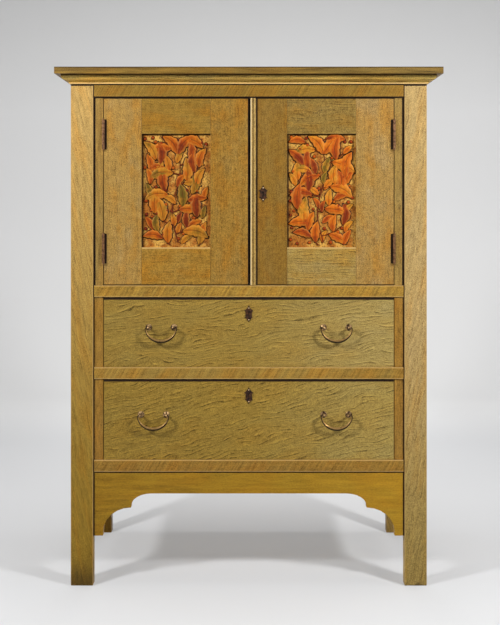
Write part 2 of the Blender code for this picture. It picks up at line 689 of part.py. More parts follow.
def make_astragal(carrier, edge_x, wood):
    """A strip of two beads planted on the right door's meeting edge."""
    bead = (ASTRAGAL_WIDTH - 2 * ASTRAGAL_FILLET - ASTRAGAL_QUIRK) / 4
    base_y = FACE_Y - (ASTRAGAL_PROUD - bead)
    end_x = edge_x + ASTRAGAL_WIDTH
    first = edge_x + ASTRAGAL_FILLET + bead
    second = end_x - ASTRAGAL_FILLET - bead
    outline = [(end_x, FACE_Y - GAP), (edge_x, FACE_Y - GAP), (edge_x, base_y)]
    outline += arc((first, base_y), bead, bead, 180, 360, 2 * QUARTER_POINTS)
    outline += arc((second, base_y), bead, bead, 180, 360, 2 * QUARTER_POINTS)
    outline += [(end_x, base_y)]
    prism("right_door_astragal", outline, 2, DOOR_Z, DOOR_TOP, wood, carrier)


def make_door_bolt(carrier, edge_x, bronze):
    bolt_x = edge_x + BOLT_SINK
    middle = (bolt_x, DOOR_BOLT_Y, DOOR_LOCK_Z)
    bolt_axis = axis_empty("door_lock_bolt_axis", middle, carrier)
    half_y, half_z = BOLT_THICKNESS / 2, BOLT_WIDTH / 2
    board(
        "door_lock_bolt",
        (bolt_x, DOOR_BOLT_Y - half_y, DOOR_LOCK_Z - half_z),
        (bolt_x + BOLT_LENGTH, DOOR_BOLT_Y + half_y, DOOR_LOCK_Z + half_z),
        bronze,
        bolt_axis,
    )


def make_drawer(level, bay_z, bay_top, pull_insets, wood, inner_wood, bronze):
    pulls = [sign * (DRAWER_X - inset) for sign, inset in zip(SIDES.values(), pull_insets)]
    front_z, front_top = bay_z + GAP, bay_top - DRAWER_TOP_CLEARANCE
    carrier = axis_empty(f"{level}_drawer_axis", (0, FACE_Y, front_z))
    name = f"{level}_drawer"
    back_of_front = DRAWER_FRONT_BACK_Y
    side_in = DRAWER_X - DRAWER_SIDE_THICKNESS
    groove_z = grown(front_z + BOTTOM_RISE, front_z + BOTTOM_RISE + BOTTOM_THICKNESS)
    groove_x = side_in + BOTTOM_GROOVE
    lap_y = back_of_front - DRAWER_LAP
    side_top = front_top - DRAWER_SIDE_DROP

    front = board(
        f"{name}_front",
        (-DRAWER_X, FACE_Y, front_z),
        (DRAWER_X, back_of_front, front_top),
        wood,
        carrier,
    )
    rabbet_y = (lap_y - GAP, back_of_front + OVERCUT)
    rabbet_z = (front_z - OVERCUT, front_top + OVERCUT)
    rabbet_x = (side_in - GAP, DRAWER_X + OVERCUT)
    rabbets = [side_box(side, rabbet_x, rabbet_y, rabbet_z) for side in SIDES]
    bottom_groove = (
        (-groove_x, back_of_front - BOTTOM_GROOVE, groove_z[0]),
        (groove_x, back_of_front + OVERCUT, groove_z[1]),
    )
    bolt_top = front_top - BOLT_SINK
    bolt_y = (DRAWER_BOLT_Y - BOLT_THICKNESS / 2, DRAWER_BOLT_Y + BOLT_THICKNESS / 2)
    bolt_half = BOLT_WIDTH / 2
    pocket = (
        (-bolt_half - GAP, bolt_y[0] - GAP, bolt_top - BOLT_LENGTH - GAP),
        (bolt_half + GAP, bolt_y[1] + GAP, front_top + OVERCUT),
    )
    key_z = bay_top - KEYHOLE_DROP
    keyhole = (
        (-KEYHOLE_WIDTH / 2, FACE_Y - OVERCUT, key_z - KEYHOLE_HEIGHT / 2),
        (KEYHOLE_WIDTH / 2, FACE_Y + KEYHOLE_DEPTH, key_z + KEYHOLE_HEIGHT / 2),
    )
    pull_z = (bay_z + bay_top) / 2 + PULL_RISE
    hole_places = [place + side * PULL_SPACING / 2 for place in pulls for side in SIDES.values()]

    def shank_holes(bm):
        start, end = FACE_Y - OVERCUT, back_of_front + OVERCUT
        for x in hole_places:
            add_cylinder(bm, SHANK_RADIUS + GAP, (x, start, pull_z), (x, end, pull_z))

    cut(front, *rabbets, bottom_groove, pocket, keyhole, shank_holes)

    for side, sign in SIDES.items():
        outline = [
            (sign * DRAWER_X, front_z),
            (sign * side_in, front_z),
            (sign * side_in, groove_z[0]),
            (sign * groove_x, groove_z[0]),
            (sign * groove_x, groove_z[1]),
            (sign * side_in, groove_z[1]),
            (sign * side_in, side_top),
            (sign * DRAWER_X, side_top),
        ]
        prism(f"{name}_{side}_side", outline, 1, lap_y, DRAWER_BACK_Y, inner_wood, carrier)
    board(
        f"{name}_bottom",
        (-groove_x + GAP, back_of_front - BOTTOM_GROOVE + GAP, front_z + BOTTOM_RISE),
        (groove_x - GAP, DRAWER_BACK_Y, front_z + BOTTOM_RISE + BOTTOM_THICKNESS),
        inner_wood,
        carrier,
    )
    board(
        f"{name}_back",
        (-side_in + GAP, DRAWER_BACK_Y - DRAWER_BACK_THICKNESS, groove_z[1]),
        (side_in - GAP, DRAWER_BACK_Y, side_top),
        inner_wood,
        carrier,
    )
    bolt_axis = axis_empty(f"{name}_lock_bolt_axis", (0, DRAWER_BOLT_Y, bolt_top), carrier)
    board(
        f"{name}_lock_bolt",
        (-bolt_half, bolt_y[0], bolt_top - BOLT_LENGTH),
        (bolt_half, bolt_y[1], bolt_top),
        bronze,
        bolt_axis,
    )
    for side, place in zip(SIDES, pulls):
        make_pull_mount(f"{name}_{side}", place, pull_z, bronze, carrier)
        make_bail(f"{name}_{side}", place, pull_z, bronze, carrier)


def make_pull_mount(name, middle_x, z, bronze, carrier):
    """Two posts through the drawer front, tied by a strap inside it."""
    strap_y = DRAWER_FRONT_BACK_Y + GAP
    strap_x = PULL_SPACING / 2 + STRAP_OVERLAP
    mount = board(
        f"{name}_pull_mount",
        (middle_x - strap_x, strap_y, z - STRAP_HEIGHT / 2),
        (middle_x + strap_x, strap_y + STRAP_THICKNESS, z + STRAP_HEIGHT / 2),
        bronze,
        carrier,
    )
    # A post's profile, as (radius, distance out from the drawer's face)
    shank_end = -(DRAWER_FRONT_THICKNESS + GAP + STRAP_THICKNESS / 2)
    rim = GAP + ROSETTE_THICKNESS / 2
    neck_radius = HEAD_RADIUS - NECK_INSET
    head_start = math.degrees(math.acos(neck_radius / HEAD_RADIUS))
    post = [(0, shank_end), (SHANK_RADIUS, shank_end), (SHANK_RADIUS, GAP), (ROSETTE_RADIUS, GAP)]
    post += [(ROSETTE_RADIUS, rim), (neck_radius, GAP + ROSETTE_THICKNESS)]
    post += arc((0, PULL_STANDOFF), HEAD_RADIUS, HEAD_RADIUS, -head_start, 90)[:-1]
    post += [(0, PULL_STANDOFF + HEAD_RADIUS)]
    places = [middle_x + sign * PULL_SPACING / 2 for sign in SIDES.values()]
    bore_radius = BAIL_END_RADIUS + BAIL_PIN_CLEARANCE

    def posts(bm):
        for x in places:
            add_turned(bm, post, (x, FACE_Y, z), (0, -1, 0))

    def bores(bm):
        for x in places:
            reach = HEAD_RADIUS + OVERCUT
            add_cylinder(bm, bore_radius, (x - reach, PULL_Y, z), (x + reach, PULL_Y, z))

    join(mount, posts)
    cut(mount, bores)
    shade_round(mount)


def make_bail(name, middle_x, z, bronze, carrier):
    """A bail with inturned pins, a tight bend at each end and a half ellipse that swells to its middle."""
    axis = axis_empty(f"{name}_bail_axis", (middle_x, PULL_Y, z), carrier)
    bend = 2 * BAIL_END_RADIUS
    left = [(-PULL_SPACING / 2 + HEAD_RADIUS / 2, 0, BAIL_END_RADIUS)]
    for x, height in arc((-BAIL_ARM_X + bend, -bend), bend, bend, 90, 180, BEND_STATIONS):
        left.append((x, height, BAIL_END_RADIUS))
    stations = []
    for i in range(1, BAIL_STATIONS):
        turn = math.pi * i / BAIL_STATIONS
        swell = BAIL_END_RADIUS + (BAIL_MIDDLE_RADIUS - BAIL_END_RADIUS) * math.sin(turn) ** 2
        drop = -BAIL_DROP * math.sin(turn)
        if drop < -bend:
            stations.append((-BAIL_ARM_X * math.cos(turn), drop, swell))
    path = left + stations + [(-x, height, radius) for x, height, radius in reversed(left)]
    bm = bmesh.new()
    rings = []
    for i, (x, height, radius) in enumerate(path):
        before, after = path[max(i - 1, 0)], path[min(i + 1, len(path) - 1)]
        along = Vector((after[0] - before[0], 0, after[1] - before[1])).normalized()
        across = Vector((0, 1, 0)).cross(along)
        ring = []
        for k in range(TURNED_SIDES):
            turn = math.tau * k / TURNED_SIDES
            spoke = across * (radius * math.cos(turn)) + Vector((0, radius * math.sin(turn), 0))
            ring.append(bm.verts.new(Vector((middle_x + x, PULL_Y, z + height)) + spoke))
        rings.append(ring)
    for first, second in zip(rings, rings[1:]):
        bmesh.ops.bridge_loops(bm, edges=ring_edges(bm, first) + ring_edges(bm, second))
    bm.faces.new(rings[0])
    bm.faces.new(rings[-1])
    bail = add_piece(f"{name}_bail", bm, bronze, axis, (middle_x, PULL_Y, z))
    shade_round(bail)


def ring_edges(bm, ring):
    """The edges round a ring of points, made where they are missing."""
    pairs = zip(ring, ring[1:] + ring[:1])
    return [bm.edges.get(pair) or bm.edges.new(pair) for pair in pairs]


def main():
    clear_scene()
    post_oak = finish("golden oak posts", (0.52, 0.35, 0.12), 0.5)
    case_oak = finish("olive oak case", (0.36, 0.22, 0.05), 0.5)
    door_oak = finish("olive oak doors", (0.38, 0.22, 0.05), 0.5)
    drawer_oak = finish("green oak drawers", (0.27, 0.18, 0.03), 0.5)
    panel_paint = finish("painted panels", (0.45, 0.15, 0.02), 0.6)
    inner_wood = finish("pale inner wood", (0.50, 0.36, 0.18), 0.6)
    bronze = finish("bronze fittings", (0.30, 0.20, 0.10), 0.4, 1.0)
    make_posts(post_oak)
    make_side_and_back_panels(case_oak)
    make_top(case_oak)
    make_front_rails(case_oak)
    make_apron(case_oak)
    make_hanging_stiles(case_oak)
    make_inner_boards(inner_wood)
    make_door("left", door_oak, panel_paint, bronze)
    right_door, edge_x = make_door("right", door_oak, panel_paint, bronze)
    make_astragal(right_door, edge_x, door_oak)
    make_door_bolt(right_door, edge_x, bronze)
    make_drawer("upper", UPPER_BAY_Z, UPPER_BAY_TOP, UPPER_PULL_INSETS, drawer_oak, inner_wood, bronze)
    make_drawer("lower", LOWER_BAY_Z, LOWER_BAY_TOP, LOWER_PULL_INSETS, drawer_oak, inner_wood, bronze)


main()
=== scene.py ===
import json
import math
import random

import bmesh
import bpy
from mathutils import Matrix, Vector, noise

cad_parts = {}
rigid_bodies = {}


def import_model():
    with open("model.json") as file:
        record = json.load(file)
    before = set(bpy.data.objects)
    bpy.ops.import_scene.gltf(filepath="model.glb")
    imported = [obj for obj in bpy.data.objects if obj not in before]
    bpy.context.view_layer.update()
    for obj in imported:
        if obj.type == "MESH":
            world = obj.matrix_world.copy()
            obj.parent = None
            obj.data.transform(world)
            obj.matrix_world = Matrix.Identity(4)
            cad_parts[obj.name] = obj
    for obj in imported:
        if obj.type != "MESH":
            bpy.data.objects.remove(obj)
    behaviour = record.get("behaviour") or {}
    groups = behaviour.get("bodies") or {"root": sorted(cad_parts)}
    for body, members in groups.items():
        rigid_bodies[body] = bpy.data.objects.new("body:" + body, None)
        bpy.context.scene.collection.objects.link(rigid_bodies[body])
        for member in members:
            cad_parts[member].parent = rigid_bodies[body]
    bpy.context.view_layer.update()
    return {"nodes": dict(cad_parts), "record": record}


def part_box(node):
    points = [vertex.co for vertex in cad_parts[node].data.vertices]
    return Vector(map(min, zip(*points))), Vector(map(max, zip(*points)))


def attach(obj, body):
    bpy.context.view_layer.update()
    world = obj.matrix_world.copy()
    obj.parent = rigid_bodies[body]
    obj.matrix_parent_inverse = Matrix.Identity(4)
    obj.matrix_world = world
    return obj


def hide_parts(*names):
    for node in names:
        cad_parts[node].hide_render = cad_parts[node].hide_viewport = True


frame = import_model()
nodes = frame["nodes"]
bodyOf = {}
for body, members in frame["record"]["behaviour"]["bodies"].items():
    for member in members:
        bodyOf[member] = body
scene = bpy.context.scene
for leftover in ("Cube", "Light", "Camera"):
    if leftover in bpy.data.objects:
        bpy.data.objects.remove(bpy.data.objects[leftover])


def tone(red, green, blue):  # an sRGB colour as the linear one that a shader takes
    linear = []
    for value in (red / 255, green / 255, blue / 255):
        linear.append(value / 12.92 if value <= 0.04045 else ((value + 0.055) / 1.055) ** 2.4)
    return (*linear, 1.0)


# node graphs: a wire is a value on its way through one, and adds, takes and multiplies like a number
def mathNode(operation, reflected=False):  # what a wire's operator does: it adds a Math node
    def join(wire, other=0.0):
        first, second = (other, wire) if reflected else (wire, other)
        return wire.graph.node("ShaderNodeMath", {"operation": operation}, {0: first, 1: second})

    return join


class Wire:
    def __init__(self, graph, socket):
        self.graph = graph
        self.socket = socket

    __add__ = mathNode("ADD")
    __radd__ = mathNode("ADD", True)
    __sub__ = mathNode("SUBTRACT")
    __rsub__ = mathNode("SUBTRACT", True)
    __mul__ = mathNode("MULTIPLY")
    __rmul__ = mathNode("MULTIPLY", True)
    __abs__ = mathNode("ABSOLUTE")
    fraction = mathNode("FRACT")


class Graph:
    def __init__(self, tree):
        self.tree = tree

    def node(self, kind, settings=None, links=None, output=0):
        made = self.tree.nodes.new(kind)
        for key, value in (settings or {}).items():
            if key == "stops":
                self.setStops(made.color_ramp, value)
            else:
                setattr(made, key, value)
        for key, value in (links or {}).items():
            self.feed(made.inputs[key], value)
        return Wire(self, made.outputs[output]) if len(made.outputs) else None

    def setStops(self, ramp, stops):
        for element, (position, colour) in zip(ramp.elements, (stops[0], stops[-1])):
            element.position = position
            element.color = colour
        for position, colour in stops[1:-1]:
            ramp.elements.new(position).color = colour

    def feed(self, socket, value):
        if isinstance(value, Wire):
            self.tree.links.new(value.socket, socket)
        else:
            socket.default_value = value

    def most(self, first, second):
        return self.node("ShaderNodeMath", {"operation": "MAXIMUM"}, {0: first, 1: second})

    def seen(self):  # 1 where the camera, a reflection or a view through glass meets it
        path = self.node("ShaderNodeLightPath")  # its first output is Is Camera Ray
        seen = path
        for ray in ("Is Glossy Ray", "Is Transmission Ray"):
            seen = self.most(seen, Wire(self, path.socket.node.outputs[ray]))
        return seen


class Finish(Graph):  # one material
    def __init__(self, name):
        self.material = bpy.data.materials.new(name)
        self.material.use_nodes = True
        super().__init__(self.material.node_tree)
        self.shader = self.tree.nodes["Principled BSDF"]

    def place(self):  # x, y and z on the piece, in metres
        spot = self.node("ShaderNodeTexCoord", {}, {}, "Object")
        parts = self.node("ShaderNodeSeparateXYZ", {}, {0: spot})
        return [Wire(self, socket) for socket in parts.socket.node.outputs]

    def noise(self, x, y, z, detail):
        spot = self.node("ShaderNodeCombineXYZ", {}, {0: x, 1: y, 2: z})
        return self.node("ShaderNodeTexNoise", {}, {"Vector": spot, "Scale": 1.0, "Detail": detail})

    def step(self, value, start, end):  # eased from 0 at start to 1 at end
        links = {"Value": value, "From Min": start, "From Max": end}
        return self.node("ShaderNodeMapRange", {"interpolation_type": "SMOOTHSTEP"}, links)

    def blend(self, factor, first, second, kind="MIX"):
        settings = {"data_type": "RGBA", "blend_type": kind}
        return self.node("ShaderNodeMix", settings, {0: factor, 6: first, 7: second}, 2)

    def shade(self, colour, amount):
        return self.node("ShaderNodeVectorMath", {"operation": "SCALE"}, {0: colour, 3: amount})

    def attribute(self, name):
        return self.node("ShaderNodeAttribute", {"attribute_name": name}, {}, "Fac")

    def surface(self, sockets, height=None, strength=0.0, distance=0.0):  # the last three for bump
        for name, value in sockets.items():
            self.feed(self.shader.inputs[name], value)
        if height is not None:
            links = {"Strength": strength, "Distance": distance, "Height": height}
            self.feed(self.shader.inputs["Normal"], self.node("ShaderNodeBump", {}, links))
        return self.material


# quarter-sawn oak, waxed: colours, figure and edges for one board, with painted highlights and painted shade
oak = {
    "grain": "z",  # the axis that the grain runs along
    "base": tone(172, 134, 68),
    "foot": None,  # the base colour lower down, between the two heights in rise; on the posts, painted shade where less light reaches
    "rise": (0.2, 1.2),
    "darkFoot": 0.0,  # how high the foot is darkened
    "darkFootTone": tone(150, 145, 150),
    "lean": 0.0,  # painted light: how much lighter it gets to the right, to the metre
    "warm": (1.14, 0.92, 0.58, 1.0),  # what the patches make of the base
    "cool": (0.90, 1.04, 1.40, 1.0),
    "dark": (1.0, 0.84, 0.62, 1.0),  # and what its darker figure does
    # pale edges: partly wear, partly a painted highlight where light catches an edge
    "wearHighlight": tone(214, 176, 112),
    "drift": None,  # what the base is multiplied by at the right end
    "driftSpan": (-0.05, 0.38),
    # painted shade: the dark tone laid where shade falls between parts, in gaps and beside proud edges
    "paintedShade": tone(30, 14, 3),
    "patchRate": (9.0, 18.0),  # how many to the metre, along and across the grain, as the other rates are
    "patches": 0.5,
    "patchSpan": (0.44, 0.68),  # where in the noise they begin and are full
    "flecks": 0.16,  # pale rays
    "fleckSpan": (0.52, 0.66),
    "lines": 0.16,  # darker ground between them
    "lineSpan": (0.48, 0.34),
    "flakes": 0.0,  # thin wavy lines, a dark and a pale one side by side
    "flakeRate": (20.0, 85.0),  # how often they break off, and how many lie side by side
    "flakeBend": 3.0,
    "slope": 0.0,  # how the figure climbs across the grain
    "shear": 0.0,  # how the rays lean along it
    "wander": 0.02,
    "rayRate": (30.0, 150.0),
    "pores": 0.6,
    "poreRate": (24.0, 620.0),
    "streaks": 0.45,
    "streakRate": (3.0, 90.0),
    "grit": 1.6,
    "gritRate": (430.0, 480.0),
    # edges that get the pale tone, as wear and painted highlight
    "wearHighlightEdges": (),
    "wearHighlightWidth": 0.0022,
    "wearHighlightAmount": 0.5,
    # painted shade lines along these edges, and how wide
    "paintedShadeEdges": (),
    "paintedShadeWidth": 0.0045,
    "shadeBoxes": (),  # painted shade: dark boxes, each a range on some of the axes
    "rough": 0.46,
    "ease": 0.0008,  # the rounding of its edges
}


def edgeBand(finish, place, box, edges, width, ragged):
    band = None
    for edge in edges:
        axis = "xyz".index(edge[0])
        low = edge[1] == "-"
        where = edge[2] if len(edge) > 2 else box[0 if low else 1][axis]
        gap = place[axis] - where if low else where - place[axis]
        line = finish.step(gap + (ragged - 0.5) * width * 0.4, width, width * 0.75)
        band = line if band is None else finish.most(band, line)
    return band


def oakFinish(node, look):
    finish = Finish("oak " + node.replace("_", " "))
    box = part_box(node)
    place = finish.place()
    order = {"x": (0, 2, 1), "y": (1, 0, 2), "z": (2, 0, 1)}[look["grain"]]
    shift = [look["seed"] * step for step in (1.73, 0.61, 0.47)]
    along, across, deep = [place[axis] + move for axis, move in zip(order, shift)]
    along = along + across * look["shear"]
    wander = finish.noise(along * 7, across * 14, deep * 14, 1.5)
    level = across + (wander - 0.5) * look["wander"] - along * look["slope"]

    def figure(rates, detail, skip=0.0):
        alongRate, acrossRate = rates
        return finish.noise(along * alongRate + skip, level * acrossRate, deep * acrossRate, detail)

    pores = figure(look["poreRate"], 2)
    streaks = figure(look["streakRate"], 2.5)
    rays = figure(look["rayRate"], 1.5)
    grit = figure(look["gritRate"], 1)
    warm = finish.step(figure(look["patchRate"], 5), *look["patchSpan"])
    cool = finish.step(figure(look["patchRate"], 5, 7.7), *look["patchSpan"])
    colour = look["base"]
    if look["foot"]:
        colour = finish.blend(finish.step(place[2], *look["rise"]), look["foot"], colour)
    if look["darkFoot"]:
        footDarkening = finish.step(place[2] - (streaks - 0.5) * 0.03, look["darkFoot"], 0.0)
        colour = finish.blend(footDarkening * 0.9, colour, look["darkFootTone"], "MULTIPLY")
    if look["drift"]:
        colour = finish.blend(finish.step(place[0], *look["driftSpan"]), colour, look["drift"], "MULTIPLY")
    colour = finish.blend(cool * look["patches"], colour, look["cool"], "MULTIPLY")
    colour = finish.blend(warm * look["patches"], colour, look["warm"], "MULTIPLY")
    light = 1 + (pores - 0.5) * look["pores"]
    light = light + (streaks - 0.5) * look["streaks"]
    light = light + (grit - 0.5) * look["grit"]
    light = light + finish.step(rays, *look["fleckSpan"]) * look["flecks"]
    light = light - finish.step(rays, *look["lineSpan"]) * look["lines"]
    if look["lean"]:
        light = light + place[0] * look["lean"]
    if look["flakes"]:
        flakeAlong, flakeAcross = look["flakeRate"]
        wave = (level * flakeAcross + figure((9, 26), 3, 3.3) * look["flakeBend"]).fraction()
        broken = figure((flakeAlong, flakeAcross * 0.7), 2, 5.1)
        broken = finish.step(broken, 0.44, 0.60) * look["flakes"]
        light = light - finish.step(abs(wave - 0.5), 0.18, 0.05) * broken
        light = light + finish.step(abs(wave - 0.74), 0.16, 0.05) * broken * 0.7
    colour = finish.blend(finish.step(light, 1.0, 0.6) * 0.4, colour, look["dark"], "MULTIPLY")
    colour = finish.shade(colour, light)
    if look["wearHighlightEdges"]:
        wearHighlight = edgeBand(finish, place, box, look["wearHighlightEdges"], look["wearHighlightWidth"], grit)
        colour = finish.blend(wearHighlight * look["wearHighlightAmount"], colour, look["wearHighlight"])
    # painted shade along the named edges
    if look["paintedShadeEdges"]:
        paintedShade = edgeBand(finish, place, box, look["paintedShadeEdges"], look["paintedShadeWidth"], grit)
        colour = finish.blend(paintedShade, colour, look["paintedShade"])
    # painted shade in each box
    for shadeBox in look["shadeBoxes"]:
        inside = None
        for axis, (low, high) in shadeBox.items():
            middle, half = (low + high) / 2, (high - low) / 2
            within = finish.step(abs(place["xyz".index(axis)] - middle), half, half - 0.0005)
            inside = within if inside is None else inside * within
        colour = finish.blend(inside, colour, look["paintedShade"])
    sockets = {"Base Color": colour, "Roughness": look["rough"] + (pores - 0.5) * 0.25}
    sockets["Specular IOR Level"] = 0.18
    return finish.surface(sockets, pores + rays * 0.5, 0.18, 0.0004)


def easeEdges(board, width):  # the CAD board's sharp arrises, rounded as a maker would
    joined = board.modifiers.new("joined", "WELD")
    joined.merge_threshold = 0.00001
    flat = board.modifiers.new("flat", "DECIMATE")
    flat.decimate_type = "DISSOLVE"
    flat.angle_limit = math.radians(0.5)
    eased = board.modifiers.new("eased", "BEVEL")
    eased.width = width
    eased.segments = 2
    eased.limit_method = "ANGLE"
    eased.angle_limit = math.radians(40)
    eased.use_clamp_overlap = False
    board.modifiers.new("shading", "WEIGHTED_NORMAL")


def dress(node, material):
    board = nodes[node]
    board.data.materials.clear()
    board.data.materials.append(material)


def dressOak(node, seed, *changes):  # what each change says holds over the ones before it
    look = {**oak, "seed": seed}
    for change in changes:
        look.update(change)
    dress(node, oakFinish(node, look))
    if look["ease"]:
        easeEdges(nodes[node], look["ease"])


postFace = 0.420  # the posts' inner faces, from the middle
past = 0.003  # how far a painted shade line runs past its board
# the rails' ends at the posts, where painted shade runs
railEnds = (("x", "-", -postFace), ("x", "+", postFace))
topLow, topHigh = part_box("top_board")
corniceLow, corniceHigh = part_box("cornice_moulding")
# painted shade runs along the cornice's foot, on what lies below it
corniceFoot = ("z", "+", corniceLow.z)
faceY, frontBackY = [corner.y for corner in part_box("upper_drawer_front")]
skin = (faceY - 0.002, faceY + 0.0012)  # the front of a door or drawer, without its edges


def span(middle, half):
    return (middle - half, middle + half)


def atFoot(low, width):  # a painted shade line along the foot of a board
    return (low - past, low + width)


def atHead(high, width):  # and along its head
    return (high - width, high + past)


def middleOf(node):
    low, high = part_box(node)
    return (low + high) / 2


post = {
    "wearHighlightEdges": ("x-", "x+"),
    "wearHighlightAmount": 0.3,
    "patchRate": (7.0, 40.0),
    "cool": (0.97, 1.0, 1.10, 1.0),
    "slope": -0.2,
    "rayRate": (26.0, 120.0),
    "flecks": 0.12,
    "lines": 0.12,
    "streaks": 0.2,
    "flakes": 0.19,
    "flakeRate": (14.0, 90.0),
    "paintedShadeEdges": (corniceFoot,),
    "paintedShadeWidth": 0.0055,
    "ease": 0.0015,
}
# painted shade: the posts' foot tones darken them lower down, where less light reaches
leftPost = {"base": tone(176, 143, 82), "foot": tone(135, 106, 33), "rise": (0.10, 1.45), "darkFoot": 0.09}
rightPost = {
    "base": tone(168, 141, 89),
    "foot": tone(146, 122, 64),
    "rise": (0.05, 0.75),
    "darkFoot": 0.008,
    "slope": 0.2,
}
dressOak("front_left_post", 1, post, leftPost)
dressOak("front_right_post", 2, post, rightPost)
# painted shade: the left rear post in a far darker tone than the right one, as it stands in shade
dressOak("rear_left_post", 3, post, {"base": tone(96, 68, 7), "paintedShadeEdges": ()})
dressOak("rear_right_post", 4, post, {"base": tone(146, 118, 62), "paintedShadeEdges": ()})

rail = {
    "grain": "x",
    "base": tone(153, 118, 47),
    "patchRate": (24.0, 14.0),
    "shear": -0.6,
    "rayRate": (170.0, 14.0),  # the rays stand across a rail
    "flecks": 0.21,
    "lines": 0.21,
    "wearHighlightEdges": ("z-", "z+"),
    "paintedShadeEdges": railEnds,
    "paintedShadeWidth": 0.0032,
}
topRail = {
    "base": tone(131, 99, 34),
    "rayRate": (320.0, 14.0),
    "flecks": 0.2,
    "lines": 0.2,
    "wearHighlightEdges": (),
    "paintedShadeEdges": railEnds + (corniceFoot, "z-"),
    "paintedShadeWidth": 0.0030,
    "ease": 0.0,
}
dressOak("top_rail", 5, rail, topRail)
dressOak("waist_rail", 6, rail)
dressOak("drawer_rail", 7, rail, {"base": tone(146, 114, 48)})
dressOak("bottom_rail", 8, rail, {"base": tone(141, 106, 41)})

apron = {
    "grain": "x",
    "base": tone(152, 115, 26),
    # painted light: lighter towards the right
    "lean": 0.42,
    "patches": 0.3,
    "flecks": 0.12,
    "lines": 0.12,
    "pores": 0.4,
    "streaks": 0.3,
    "grit": 1.1,
    "rayRate": (14.0, 120.0),
    "paintedShadeEdges": railEnds + ("z+",),
    "paintedShadeWidth": 0.0040,
}
dressOak("apron", 9, apron)

hangingStile = {
    "base": tone(142, 114, 58),
    "foot": tone(142, 104, 40),
    "rise": (0.76, 0.80),
    "paintedShadeWidth": 0.0038,
}
stileShade = 0.0062  # painted shade: the dark band on each hanging stile beside its post
doorBay = (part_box("waist_rail")[1].z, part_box("top_rail")[0].z)
for seed, hand, sign, edge in ((10, "left", -1, "-"), (11, "right", 1, "+")):
    shade = {"x": tuple(sorted((sign * postFace, sign * (postFace - stileShade)))), "z": doorBay}
    look = {"paintedShadeEdges": (("x", edge, sign * postFace),), "shadeBoxes": (shade,)}
    dressOak(hand + "_hanging_stile", seed, hangingStile, look)

crown = {
    "grain": "x",
    "base": tone(121, 94, 39),
    "rayRate": (12.0, 180.0),
    "flecks": 0.2,
    "lines": 0.3,
    "streaks": 1.5,
    "ease": 0.0006,
}
crownLine = 0.0025  # painted shade: the dark line along the top of each
fascia = {"y": (topLow.y - 0.002, topLow.y + 0.0008), "z": atHead(topHigh.z, crownLine)}
cornice = {
    # painted light: the moulding's base made paler to make up for the top board's shadow on it
    "base": tone(199, 165, 82),
    "wearHighlight": tone(232, 196, 136),
    # painted highlight: a pale line along the moulding's foot
    "wearHighlightEdges": ("z-",),
    "wearHighlightWidth": 0.0042,
    "shadeBoxes": ({"z": atHead(corniceHigh.z, crownLine)},),
}
dressOak("top_board", 12, crown, {"shadeBoxes": (fascia,)})
dressOak("cornice_moulding", 13, crown, cornice)

casePanel = {"base": tone(160, 126, 62), "patches": 0.3, "ease": 0.0}
dressOak("left_side_panel", 14, casePanel)
dressOak("right_side_panel", 15, casePanel)
dressOak("back_panel", 16, casePanel, {"base": tone(140, 108, 56)})
print("case dressed")

door = {
    "patchRate": (13.0, 26.0),
    "patches": 0.9,
    "warm": (1.08, 0.90, 0.56, 1.0),
    "cool": (0.98, 1.06, 1.42, 1.0),
    "rayRate": (110.0, 70.0),
    "flecks": 0.12,
    "lines": 0.12,
    "grit": 1.9,
    "flakes": 0.2,
    "flakeRate": (40.0, 130.0),
    "ease": 0.0005,
}
doorTones = {  # hinge stile, meeting stile, top rail, bottom rail
    "left": (tone(153, 120, 60), tone(142, 107, 42), tone(138, 105, 38), tone(147, 110, 40)),
    "right": (tone(154, 121, 63), tone(128, 95, 34), tone(131, 105, 49), tone(151, 124, 63)),
}
doorDetail = {
    "railFlakes": {"left": 0.2, "right": 0.45},
    "line": 0.0016,  # painted shade: the dark lines at foot and head
    # painted shade: the dark bands beside each hinge barrel, and their half height
    "hingeShadeX": (0.3836, 0.3920),
    "hingeHalf": 0.0405,
    # painted shade: the gap between the doors on the left one, the shadow beside the astragal on the right
    # one
    "meetingShade": {"left": (-0.0029, 0.0010), "right": (0.0150, 0.0240)},
}
# painted highlight: the pale sill along each door's bottom rail, lit from above
doorSill = {"wearHighlightEdges": ("z+",), "wearHighlightWidth": 0.0042, "wearHighlightAmount": 0.6}
keyholes = {"door": (0.0388, 1.0567), "upper_drawer": (0.0, 0.7325), "lower_drawer": (0.0, 0.5115)}
keyholeShadeSize = {"half": 0.0029, "tall": 0.0085, "deep": (0.0003, 0.0200)}


def keyholeShade(lock):  # painted shade: a dark box on the board behind a key plate's keyhole
    x, z = keyholes[lock]
    near, far = keyholeShadeSize["deep"]
    return {"x": span(x, keyholeShadeSize["half"]), "y": (faceY + near, faceY + far), "z": span(z, keyholeShadeSize["tall"])}


